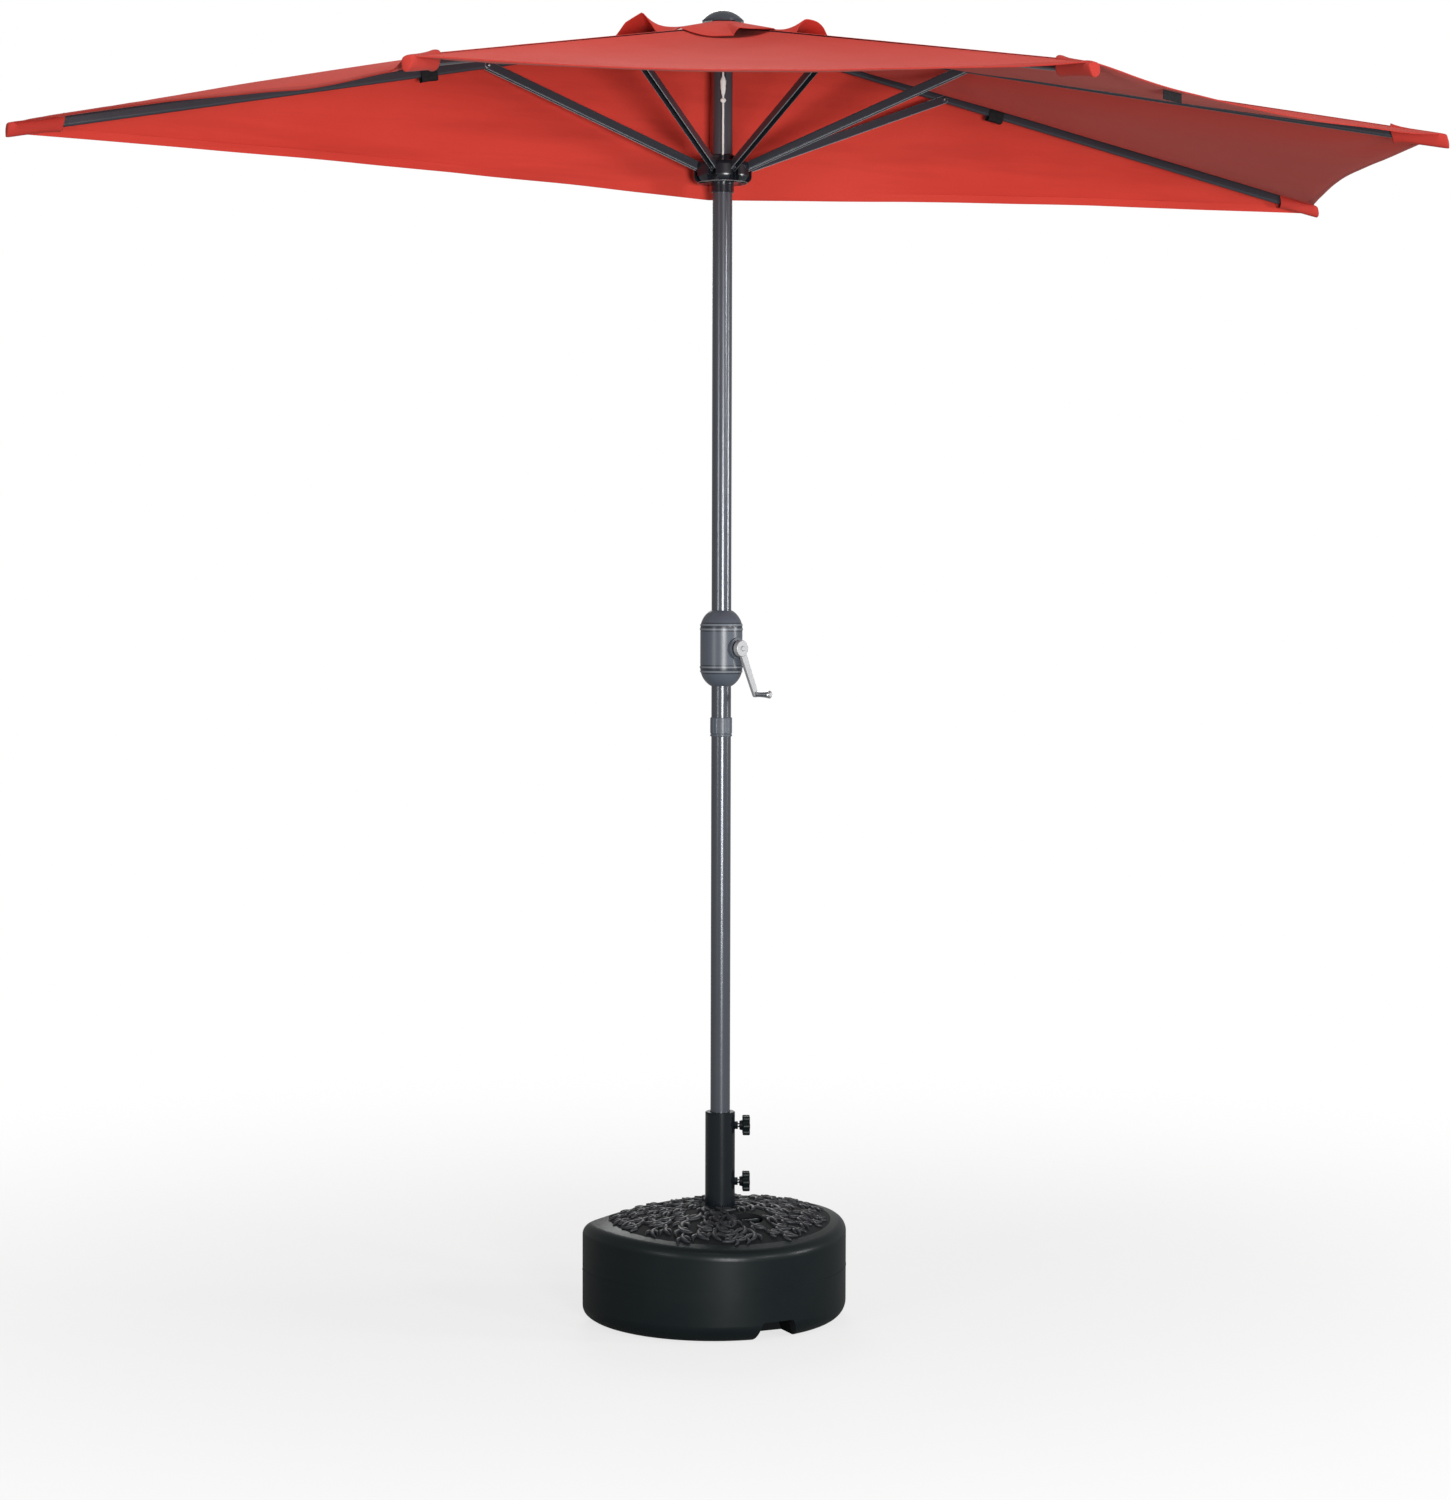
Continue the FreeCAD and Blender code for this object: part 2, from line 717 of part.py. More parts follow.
def housing_screws():
    screws = []
    for centre in screw_spots():
        shank = screw_rod(centre, housing_screw_radius, -screw_depth() + 1, screw_depth() - 3)
        head = screw_rod(centre, housing_screw_head - seat_gap, -screw_depth(),
                         -screw_depth() + 2 - seat_gap)
        screws.append(shank.fuse(head))
    return screws


def axle_bushes():
    front_end = crank_boss_reach - crank_boss_recess
    back_end = -housing_radius + housing_wall / 2
    bushes = []
    for start, end in ((front_end - bush_length, front_end), (back_end, back_end + bush_length)):
        bush = axle_rod(bush_radius, start, end)
        bushes.append(bush.cut(axle_rod(axle_radius + pin_clearance, start, end)))
    return bushes


def crank_axle():
    back = -housing_radius + housing_wall / 2 + seat_gap
    shaft = axle_rod(axle_radius, back, arm_start + arm_hub_length - 2)
    return shaft


def winding_drum():
    half = drum_length / 2
    core = axle_rod(drum_core_radius, -half, half)
    near = axle_rod(drum_flange_radius, half - drum_flange, half)
    far = axle_rod(drum_flange_radius, -half, -half + drum_flange)
    return core.fuse([near, far]).cut(axle_rod(axle_radius + pin_clearance, -half, half))


def crank_local(shape):
    """Put a shape made with its axle along +X at the pole axis on the crank, at its swing."""
    placed = shape.copy()
    placed.rotate(origin, along, arm_swing)
    placed.translate(Vector(0, 0, crank_height))
    return turned(placed, crank_azimuth)


def crank_arm():
    hub = Part.makeCylinder(arm_hub_radius, arm_hub_length, Vector(arm_start, 0, 0), along)
    hub = hub.makeFillet(arm_hub_edge, [edge for edge in hub.Edges
                                        if edge.BoundBox.XLength < 0.01])
    face = arm_start + arm_set_back
    inner = arm_width_inner / 2
    outer = arm_width_outer / 2
    bar = prism([Vector(face, -inner, 0), Vector(face, inner, 0),
                 Vector(face, outer, -arm_length), Vector(face, -outer, -arm_length)],
                Vector(arm_thickness, 0, 0))
    end = Part.makeCylinder(outer, arm_thickness, Vector(face, 0, -arm_length), along)
    bar = bar.fuse(end).removeSplitter()
    rims = [edge for edge in bar.Edges if edge.BoundBox.XLength < 0.01]
    bar = bar.makeFillet(arm_edge, rims)
    pin_end = face + arm_thickness + running_gap + grip_length + running_gap
    pin = Part.makeCylinder(grip_pin_radius, pin_end + 1 - face, Vector(face, 0, -arm_length), along)
    head = Part.makeCone(grip_head_radius, grip_head_radius - 1.5, grip_head_height,
                         Vector(pin_end, 0, -arm_length), along)
    arm = hub.fuse([bar, pin, head])
    bore = Part.makeCylinder(axle_radius + pin_clearance, arm_hub_length - 2 + pin_clearance,
                             Vector(arm_start, 0, 0), along)
    tap = Part.makeCylinder(housing_screw_radius + pin_clearance, arm_hub_length + 1,
                            Vector(arm_start, 0, 0), along)
    return crank_local(arm.cut(bore).cut(tap))


def crank_screw():
    """The screw that holds the arm on the axle's end."""
    face = arm_start + arm_hub_length
    head = Part.makeCylinder(housing_screw_head + 1, 2, Vector(face + seat_gap, 0, 0), along)
    head = head.makeFillet(1.2, [head.Edges[0]])
    shank = Part.makeCylinder(housing_screw_radius, 2 + seat_gap, Vector(face - 2, 0, 0), along)
    return crank_local(head.fuse(shank))


def crank_grip():
    start = arm_start + arm_set_back + arm_thickness + running_gap
    end = start + grip_length
    edge = grip_edge
    middle = (start + end) / 2
    bore = grip_pin_radius + pin_clearance
    profile = [
        line(Vector(start, bore, 0), Vector(start, grip_root_radius - edge, 0)),
        line(Vector(start, grip_root_radius - edge, 0), Vector(start + edge, grip_root_radius, 0)),
        arc(Vector(start + edge, grip_root_radius, 0), Vector(middle, grip_waist, 0),
            Vector(end - edge, grip_radius, 0)),
        line(Vector(end - edge, grip_radius, 0), Vector(end, grip_radius - edge, 0)),
        line(Vector(end, grip_radius - edge, 0), Vector(end, bore, 0)),
        line(Vector(end, bore, 0), Vector(start, bore, 0))]
    grip = spun(profile, origin, along)
    grip.translate(Vector(0, 0, -arm_length))
    return crank_local(grip)


# ---- pulley and lift cord ----

def pulley_centre():
    return radial(cord_azimuth) * pulley_reach + Vector(0, 0, pulley_height)


def pulley_rod(radius, length):
    across = radial(cord_azimuth + 90)
    centre = pulley_centre()
    return rod(radius, centre - across * (length / 2), centre + across * (length / 2))


def lift_pulley():
    half = pulley_width / 2
    wheel = pulley_rod(pulley_flange_radius, pulley_width)
    groove = Part.makeTorus(pulley_groove_radius + cord_radius, cord_radius + pin_clearance,
                            origin, side)
    groove = groove.fuse(Part.makeCylinder(pulley_flange_radius + 1, 2 * cord_radius,
                                           Vector(0, -cord_radius, 0), side).cut(
        Part.makeCylinder(pulley_groove_radius + cord_radius, 2 * half, Vector(0, -half, 0), side)))
    groove.translate(Vector(pulley_reach, 0, pulley_height))
    bore = pulley_rod(pulley_pin_radius + pin_clearance, 2 * pulley_width)
    return wheel.cut(turned(groove, cord_azimuth)).cut(bore)


def pulley_pin():
    return pulley_rod(pulley_pin_radius, 2 * math.sqrt(pole_radius ** 2 - pulley_reach ** 2))


def lift_cord_inner():
    """The cord from the drum up inside the pole and over the pulley."""
    outward = radial(cord_azimuth)
    centre = pulley_centre()
    drum_side = radial(crank_azimuth + 90) * (drum_core_radius + cord_radius + seat_gap)
    bottom = drum_side + Vector(0, 0, crank_height)
    top = outward * cord_inner_reach + Vector(0, 0, pulley_height)
    reach = pulley_groove_radius + cord_radius
    peak = centre + up * reach
    last = centre + outward * reach
    path = Part.Wire([line(bottom, top), arc(top, peak, last)])
    circle = Part.Wire(Part.makeCircle(cord_radius - pin_clearance, bottom, top - bottom))
    return path.makePipeShell([circle], True, False)


def lift_cord_outer():
    """The cord down the outside of the pole, with its spliced eye and knot, to the runner."""
    bottom = runner_top - cord_hole_depth + seat_gap
    radius = cord_radius - pin_clearance
    top = pulley_height - seat_gap
    profile = spun_points([(0, bottom), (radius, bottom), (radius, knot_height - knot_radius),
                           (knot_radius, knot_height), (radius, knot_height + knot_radius),
                           (radius, splice_bottom - 4), (splice_radius - 1, splice_bottom),
                           (splice_radius - 1, splice_top - 6), (radius, splice_top),
                           (radius, top), (0, top)])
    profile.translate(Vector(cord_reach, 0, 0))
    return turned(profile, cord_azimuth)


# ---- crown ----

def crown_hub():
    """The rib notch: a disc with five open slots, with a pin across each."""
    body = spun_points([(0, crown_top - crown_plate + seat_gap), (0, crown_top),
                        (crown_radius - 3, crown_top), (crown_radius, crown_top - 3),
                        (crown_radius, crown_bottom + crown_skirt_height),
                        (crown_skirt_radius, crown_bottom),
                        (pole_radius + seat_gap, crown_bottom),
                        (pole_radius + seat_gap, crown_top - crown_plate + seat_gap)])
    width = rib_width + 2 * rib_slot_gap
    inner = crown_pin_reach - rib_eye_radius - running_gap
    slot = Part.makeBox(crown_radius, width, crown_top - crown_plate - crown_bottom + 1,
                        Vector(inner, -width / 2, crown_bottom - 1))
    hole = rod(hinge_pin_radius + pin_clearance,
               Vector(crown_pin_reach, -hinge_pin_length / 2, crown_pin_height),
               Vector(crown_pin_reach, hinge_pin_length / 2, crown_pin_height))
    for azimuth in rib_azimuths.values():
        body = body.cut(turned(slot, azimuth)).cut(turned(hole, azimuth))
    return body.cut(Part.makeCylinder(finial_stud_radius + pin_clearance, crown_plate + 1,
                                      Vector(0, 0, crown_top - crown_plate)))


def crown_pins():
    half = hinge_pin_length / 2 - seat_gap
    pin = rod(hinge_pin_radius, Vector(crown_pin_reach, -half, crown_pin_height),
              Vector(crown_pin_reach, half, crown_pin_height))
    return [turned(pin, azimuth) for azimuth in rib_azimuths.values()]


def crown_washer():
    bottom = crown_top + seat_gap
    top = bottom + washer_thickness - seat_gap
    return ring(washer_radius, finial_stud_radius + pin_clearance, bottom, top)


def vent_height(radius):
    """Height of the vent cap's underside along a rib."""
    start = crown_top + washer_thickness + cloth_gap
    end = canopy_height(vent_reach) + cloth + vent_lift
    return start + (end - start) * (radius - vent_inner) / (vent_reach - vent_inner)


def finial():
    """A low dome whose underside follows the vent cap."""
    over = cloth + 2 * cloth_gap
    inner = vent_height(vent_inner) + over
    rim = vent_height(finial_radius) + over
    shoulder = rim + finial_rim
    seat = crown_top + washer_thickness + seat_gap
    boss = vent_inner * math.cos(math.radians(rib_step / 2)) - cloth_gap - 1
    block = spun_points([(0, seat), (boss, seat), (boss, inner), (vent_inner, inner),
                         (finial_radius, rim), (finial_radius, finial_top + 1),
                         (0, finial_top + 1)])
    rise = finial_top - shoulder
    dome_radius = (finial_radius ** 2 + rise ** 2) / (2 * rise)
    dome = Part.makeSphere(dome_radius, Vector(0, 0, finial_top - dome_radius), side)
    return block.common(dome).cut(Part.makeCylinder(
        finial_stud_radius + pin_clearance, finial_top - finial_roof - seat, Vector(0, 0, seat)))


def finial_stud():
    top = finial_top - finial_roof - seat_gap
    bottom = crown_top - finial_stud_depth
    stud = Part.makeCylinder(finial_stud_radius, top - bottom, Vector(0, 0, bottom))
    nut_top = crown_top - crown_plate
    lift = Vector(0, 0, nut_top - finial_nut_height)
    points = [radial(60 * i) * (nut_across_flats / math.sqrt(3)) + lift for i in range(6)]
    return stud.fuse(prism(points, Vector(0, 0, finial_nut_height)))


# ---- ribs ----

def rounded_bar(start, length, width, depth, corner, centre):
    """A bar along +X with rounded long edges, centred at a height."""
    bar = Part.makeBox(length, width, depth, Vector(start, -width / 2, centre - depth / 2))
    return bar.makeFillet(corner, edges_along_x(bar))


def rib_place(shape, azimuth):
    """Put a shape made along +X from its hinge pin on a rib."""
    placed = shape.copy()
    placed.rotate(origin, side, rib_slope)
    placed.translate(Vector(crown_pin_reach, 0, crown_pin_height))
    return turned(placed, azimuth)


def cross_rod(radius, distance, length):
    return rod(radius, Vector(distance, -length / 2, 0), Vector(distance, length / 2, 0))


def rib_tube():
    end = rib_length - rib_tip_length
    tube = rounded_bar(0, end, rib_width, rib_depth, rib_corner, rib_rise)
    bore = rounded_bar(rib_solid_end, end - rib_solid_end, rib_width - 2 * rib_wall,
                       rib_depth - 2 * rib_wall, rib_corner - rib_wall, rib_rise)
    eye = cross_rod(rib_eye_radius, 0, rib_width)
    body = tube.fuse(eye).cut(bore)
    body = body.cut(cross_rod(hinge_pin_radius + pin_clearance, 0, rib_width * 2))
    return body.cut(cross_rod(rivet_radius + pin_clearance, strut_joint_along, rib_width * 2))


def rib_rivet():
    """The rivet that carries the strut, with a domed head at each end."""
    half = strut_width / 2 + seat_gap
    shank = cross_rod(rivet_radius, strut_joint_along, 2 * half)
    heads = []
    for sense in (-1, 1):
        seat = Vector(strut_joint_along, sense * half, 0)
        heads.append(Part.makeCone(rivet_head_radius, rivet_radius, rivet_head_height,
                                   seat, Vector(0, sense, 0)))
    return shank.fuse(heads)


def rib_tip():
    """The plastic end that pushes into the tube and sits in the canopy's pocket."""
    face = rib_length - rib_tip_length
    fit_gap = rib_wall + seat_gap
    insert = rounded_bar(face - rib_tip_insert, rib_tip_insert + 1, rib_width - 2 * fit_gap,
                         rib_depth - 2 * fit_gap, rib_corner - fit_gap, rib_rise)
    head = rounded_bar(face + seat_gap, rib_tip_length - seat_gap, rib_width, rib_depth,
                       rib_corner, rib_rise)
    return head.fuse(insert).removeSplitter()


# ---- struts and runner ----

def stadium(radius, length, width):
    """A flat bar along +X with round ends, as wide as given across it."""
    half = width / 2
    bar = Part.makeBox(length, width, 2 * radius, Vector(0, -half, -radius))
    ends = [Part.makeCylinder(radius, width, Vector(x, -half, 0), side) for x in (0, length)]
    return bar.fuse(ends).removeSplitter()


def strut():
    """A folded channel, open below, with a pin through its lower end."""
    inner_width = strut_width - 2 * strut_wall
    outer = stadium(strut_half_depth, strut_length, strut_width)
    top_edges = [edge for edge in edges_along_x(outer)
                 if edge.BoundBox.ZMin > strut_half_depth - 1]
    outer = outer.makeFillet(strut_fold_edge, top_edges)
    hollow = stadium(strut_half_depth - strut_wall, strut_length, inner_width)
    reach = strut_length + 4 * strut_half_depth
    below = Part.makeBox(reach, inner_width, strut_half_depth + 1,
                         Vector(-2 * strut_half_depth, -inner_width / 2, -strut_half_depth - 1))
    trim = Part.makeBox(strut_web_trim + 2 * strut_half_depth, inner_width, 4 * strut_half_depth,
                        Vector(-2 * strut_half_depth, -inner_width / 2, -2 * strut_half_depth))
    body = outer.cut(hollow).cut(below).cut(trim)
    body = body.cut(cross_rod(rivet_radius + pin_clearance, 0, strut_width * 2))
    pin = cross_rod(hinge_pin_radius, strut_length, strut_width + 2 * runner_pin_extra)
    body = body.fuse(pin)
    body.rotate(origin, along, 180)
    body.rotate(origin, side, 180 - strut_slope)
    return body


def strut_place(shape, azimuth):
    placed = shape.copy()
    placed.translate(Vector(strut_joint_reach, 0, strut_joint_height))
    return turned(placed, azimuth)


def runner_hub():
    """The sliding hub: rounded lobes between five slots that the struts hang in."""
    bore = pole_radius + running_gap + bush_wall + pin_clearance
    bulge = math.sqrt(0.5)
    foot, head = runner_foot_round, runner_head_round
    rim = runner_top - runner_dish
    foot_centre = Vector(runner_radius - foot, 0, runner_bottom + foot)
    head_centre = Vector(runner_radius - head, 0, rim - head)
    inner_low, inner_high = Vector(bore, 0, runner_bottom), Vector(bore, 0, runner_top)
    foot_start = foot_centre - up * foot
    foot_end = foot_centre + along * foot
    head_start = head_centre + along * head
    head_end = head_centre + up * head
    core_edge = Vector(runner_core_radius, 0, runner_top)
    body = spun([line(inner_low, foot_start),
                 arc(foot_start, foot_centre + (along - up) * (foot * bulge), foot_end),
                 line(foot_end, head_start),
                 arc(head_start, head_centre + (along + up) * (head * bulge), head_end),
                 line(head_end, core_edge), line(core_edge, inner_high),
                 line(inner_high, inner_low)])
    slot = Part.makeBox(runner_radius, strut_slot, runner_top - runner_bottom + 2,
                        Vector(runner_core_radius, -strut_slot / 2, runner_bottom - 1))
    groove_width = strut_width + 2 * runner_pin_extra + 2 * running_gap
    groove_start = runner_pin_reach - hinge_pin_radius - running_gap
    groove_end = runner_pin_reach + hinge_pin_radius + groove_out
    groove_top = runner_pin_height + hinge_pin_radius + running_gap
    groove = Part.makeBox(groove_end - groove_start, groove_width, groove_top - runner_bottom + 1,
                          Vector(groove_start, -groove_width / 2, runner_bottom - 1))
    for azimuth in rib_azimuths.values():
        body = body.cut(turned(slot, azimuth)).cut(turned(groove, azimuth))
    cord_hole = Part.makeCylinder(cord_radius + seat_gap, cord_hole_depth + 1,
                                  Vector(cord_reach, 0, runner_top - cord_hole_depth))
    return body.cut(turned(cord_hole, cord_azimuth))


def runner_bush():
    inner = pole_radius + running_gap
    outer = inner + bush_wall
    notch = Part.makeCylinder(cord_radius + seat_gap, cord_hole_depth + bush_collar + 1,
                              Vector(cord_reach, 0, runner_top - cord_hole_depth))
    body = spun_points([(inner, bush_bottom), (outer - 1, bush_bottom), (outer, bush_bottom + 1),
                        (outer, runner_top), (outer - 1, runner_top + bush_collar),
                        (inner, runner_top + bush_collar)])
    return body.cut(turned(notch, cord_azimuth))


# ---- canopy ----

def canopy_height(radius):
    """Height of the cloth's underside along a rib, at a distance from the pole axis."""
    line_height = crown_pin_height - (radius - crown_pin_reach) * math.tan(slope)
    return line_height + (rib_rise + rib_depth / 2 + cloth_over_rib) / math.cos(slope)


def on_rib(azimuth, radius, height):
    return radial(azimuth) * radius + Vector(0, 0, height(radius))


def cloth_panel(azimuth, inner, outer, height, sag):
    """One flat panel between two ribs, with its hem curved inwards, as thick as the cloth."""
    first, second = azimuth, azimuth + rib_step
    middle = azimuth + rib_step / 2
    span = math.cos(math.radians(rib_step / 2))
    hem_radius = outer - sag / span
    hem_middle = radial(middle) * (hem_radius * span) + Vector(0, 0, height(hem_radius))
    inner_first = on_rib(first, inner, height)
    inner_second = on_rib(second, inner, height)
    outer_first = on_rib(first, outer, height)
    outer_second = on_rib(second, outer, height)
    face = Part.Face(Part.Wire([line(inner_first, outer_first),
                                arc(outer_first, hem_middle, outer_second),
                                line(outer_second, inner_second),
                                line(inner_second, inner_first)]))
    return face.extrude(Vector(0, 0, cloth))


def wall_strip(azimuth, inner, outer, height, inner_back, outer_back):
    """The cloth between the end rib and the wall-side edge of the canopy."""
    sense = 1 if azimuth == rib_azimuths["e"] else -1
    points = [Vector(sense * inner, 0, height(inner)), Vector(sense * outer, 0, height(outer)),
              Vector(sense * outer, outer_back, height(outer)),
              Vector(sense * inner, inner_back, height(inner))]
    return prism(points, Vector(0, 0, cloth))


def sector(azimuth):
    """The wedge of space that one rib's cloth fills, up to the middle of each panel."""
    reach = 2 * canopy_radius
    gap = cloth_gap / 2
    low, high = azimuth - rib_step / 2, azimuth + rib_step / 2
    if azimuth == rib_azimuths["a"]:
        low = azimuth - rib_step
    if azimuth == rib_azimuths["e"]:
        high = azimuth + rib_step
    offset = radial(azimuth) * gap
    points = [offset, radial(low) * reach + offset, radial(azimuth) * reach * 2,
              radial(high) * reach + offset]
    return prism(points, Vector(0, 0, 2 * finial_top))


def gore(azimuth):
    """All the cloth that one rib carries: its part of the canopy and of the vent cap."""
    panels, flaps = [], []
    for start in (azimuth - rib_step, azimuth):
        if rib_azimuths["a"] <= start % 360 < 360 and start != 360:
            start = start % 360
            panels.append(cloth_panel(start, canopy_hole, canopy_radius, canopy_height, hem_sag))
            flaps.append(cloth_panel(start, vent_inner, vent_reach, vent_height, 0.01))
    if azimuth in (rib_azimuths["a"], rib_azimuths["e"]):
        edge_back = rib_width / 2 + curtain_rib_gap + curtain_cloth
        share = 1 - canopy_hole / canopy_radius
        inner_back = edge_back + (curtain_back_top - edge_back) * share
        panels.append(wall_strip(azimuth, canopy_hole, canopy_radius, canopy_height,
                                 inner_back, edge_back))
        flaps.append(wall_strip(azimuth, finial_radius + running_gap, vent_reach, vent_height,
                                finial_radius, finial_radius))
    wedge = sector(azimuth)
    sheet = panels[0].fuse(panels[1:]).common(wedge)
    flap = flaps[0].fuse(flaps[1:]).common(wedge)
    return sheet.Solids[0], flap.Solids[0]


def curtain(sense):
    """One half of the upright panel on the wall side, from a rib tip to behind the pole."""
    edge = rib_width / 2 + curtain_rib_gap
    under = cloth_over_rib
    tip_top = canopy_height(canopy_radius) - under
    share = 1 - canopy_hole / canopy_radius
    hole_back = edge + (curtain_back_top - edge) * share
    points = [Vector(sense * canopy_radius, edge, tip_top),
              Vector(sense * canopy_radius, edge, tip_top - curtain_tip_drop),
              Vector(sense * cloth_gap / 2, curtain_back_bottom, curtain_hem_mid),
              Vector(sense * cloth_gap / 2, curtain_back_top, canopy_height(canopy_hole) - under),
              Vector(sense * canopy_hole, hole_back, canopy_height(canopy_hole) - under)]
    thick = Vector(0, curtain_cloth, 0)
    lower = prism([points[0], points[1], points[2]], thick)
    upper = prism([points[0], points[2], points[4]], thick)
    centre = prism([points[4], points[2], points[3]], thick)
    return lower.fuse([upper, centre]).removeSplitter()


def main():
    os.makedirs("parts", exist_ok=True)
    write("base_tank", base_tank())
    write("ballast_fill", cavity_form(cloth_gap))
    write("filler_plug", filler_plug())
    write("plug_seal", plug_seal())
    write("sleeve_tube", sleeve_tube())
    write("sleeve_nuts", *[weld_nut(height) for height in clamp_heights_all])
    write("sleeve_liners", *sleeve_liners())
    for name, height in clamp_heights.items():
        write("clamp_screw_" + name, clamp_screw(height))
        write("clamp_knob_" + name, clamp_knob(height))
    write("lower_pole", lower_pole())
    write("pole_foot_cap", pole_foot_cap())
    write("joint_collar", joint_collar())
    write("joint_spigot", joint_spigot())
    write("spigot_rivets", *spigot_rivets())
    write("upper_pole", upper_pole())
    front, back = housing_shells()
    write("crank_housing_front", front)
    write("crank_housing_back", back)
    write("housing_screws", *housing_screws())
    write("axle_bushes", *axle_bushes())
    write("crank_axle", crank_axle())
    write("winding_drum", winding_drum())
    write("crank_arm", crank_arm())
    write("crank_screw", crank_screw())
    write("crank_grip", crank_grip())
    write("lift_pulley", lift_pulley())
    write("pulley_pin", pulley_pin())
    write("lift_cord_inner", lift_cord_inner())
    write("lift_cord_outer", lift_cord_outer())
    write("crown_hub", crown_hub())
    write("crown_pins", *crown_pins())
    write("crown_washer", crown_washer())
    write("finial", finial())
    write("finial_stud", finial_stud())
    write("runner_hub", runner_hub())
    write("runner_bush", runner_bush())
    tube, rivet, tip, bar = rib_tube(), rib_rivet(), rib_tip(), strut()
    for letter, azimuth in rib_azimuths.items():
        write("rib_" + letter, rib_place(tube, azimuth), rib_place(rivet, azimuth))
        write("rib_tip_" + letter, rib_place(tip, azimuth))
        write("strut_" + letter, strut_place(bar, azimuth))
        write("canopy_gore_" + letter, *gore(azimuth))
    write("wall_curtain_left", curtain(-1))
    write("wall_curtain_right", curtain(1))

    for name, count, valid in written:
        print(name, count, "valid" if valid else "NOT VALID")
    print("nodes", len(written))
    print("lift_cord_inner: bend radius %.2f mm, tube radius %.2f mm"
          % (pulley_groove_radius + cord_radius, cord_radius - pin_clearance))
    print("runner travel %.3f mm" % runner_travel)
    print("rib ratio %.6f rad/m" % (-fold_turn / runner_travel * 1000))
    strut_turn = fold_turn + math.radians(folded_strut_slope - strut_slope)
    print("strut ratio %.6f rad/m" % (strut_turn / runner_travel * 1000))
    print("strut slope %.3f, folded %.3f" % (strut_slope, folded_strut_slope))
    print("strut joint height %.3f" % strut_joint_height)


main()
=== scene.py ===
import json
import math
import random

import bmesh
import bpy
from mathutils import Matrix, Vector, noise
from mathutils.bvhtree import BVHTree


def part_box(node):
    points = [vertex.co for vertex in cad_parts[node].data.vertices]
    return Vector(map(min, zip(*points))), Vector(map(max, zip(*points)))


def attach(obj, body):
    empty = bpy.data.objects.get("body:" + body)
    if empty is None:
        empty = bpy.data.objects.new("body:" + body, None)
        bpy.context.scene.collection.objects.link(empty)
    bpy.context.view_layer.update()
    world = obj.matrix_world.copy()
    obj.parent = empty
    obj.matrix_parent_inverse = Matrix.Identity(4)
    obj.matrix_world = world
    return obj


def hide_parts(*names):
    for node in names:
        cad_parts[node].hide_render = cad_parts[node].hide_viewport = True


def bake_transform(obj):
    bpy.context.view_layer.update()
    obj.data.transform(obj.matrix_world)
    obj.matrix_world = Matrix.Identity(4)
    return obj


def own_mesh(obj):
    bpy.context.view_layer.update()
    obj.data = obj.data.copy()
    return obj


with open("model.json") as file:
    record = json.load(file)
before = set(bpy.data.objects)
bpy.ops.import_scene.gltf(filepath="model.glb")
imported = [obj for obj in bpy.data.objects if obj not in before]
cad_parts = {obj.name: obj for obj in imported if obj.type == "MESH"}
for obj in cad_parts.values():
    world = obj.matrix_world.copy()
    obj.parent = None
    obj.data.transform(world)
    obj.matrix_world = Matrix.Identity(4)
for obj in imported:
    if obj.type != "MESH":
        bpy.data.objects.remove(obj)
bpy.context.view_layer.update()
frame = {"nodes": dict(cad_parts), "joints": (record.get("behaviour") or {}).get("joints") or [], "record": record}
nodes = frame["nodes"]
joints = {joint["name"]: joint for joint in frame["joints"]}
scene = bpy.context.scene
scene.view_settings.view_transform = "Standard"
noise.seed_set(8)      # the same creases on every run
print("frame loaded:", len(nodes), "parts")


# small helpers

meshValues = {"mergeReach": 0.00005, "sharpAngle": 0.75}


def blendValue(low, high, share):
    return low + (high - low) * share


def easeShare(value, low, high):
    share = min(max((value - low) / (high - low), 0.0), 1.0)
    return share * share * (3 - 2 * share)


def flatDirection(degrees):
    return Vector((math.cos(math.radians(degrees)), math.sin(math.radians(degrees)), 0))


def addObject(name, bm, material, body=None):
    # an object with soft shading, that rides on a body and belongs to a slot
    mesh = bpy.data.meshes.new(name)
    bm.to_mesh(mesh)
    bm.free()
    mesh.polygons.foreach_set("use_smooth", [True] * len(mesh.polygons))
    mesh.materials.append(material)
    obj = bpy.data.objects.new(name, mesh)
    scene.collection.objects.link(obj)
    if body:
        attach(obj, body)
    return obj


def gridSheet(columns, rows, place, uvPlace):
    # a grid of cells, moved to place(a, b) and mapped to uvPlace(a, b), with a and b from 0 to 1
    bm = bmesh.new()
    bmesh.ops.create_grid(bm, x_segments=columns, y_segments=rows, size=0.5)
    uvLayer = bm.loops.layers.uv.new("cloth")
    shares = {vert: (vert.co.x + 0.5, vert.co.y + 0.5) for vert in bm.verts}
    for face in bm.faces:
        for loop in face.loops:
            loop[uvLayer].uv = uvPlace(*shares[loop.vert])
    for vert, (a, b) in shares.items():
        vert.co = place(a, b)
    return bm


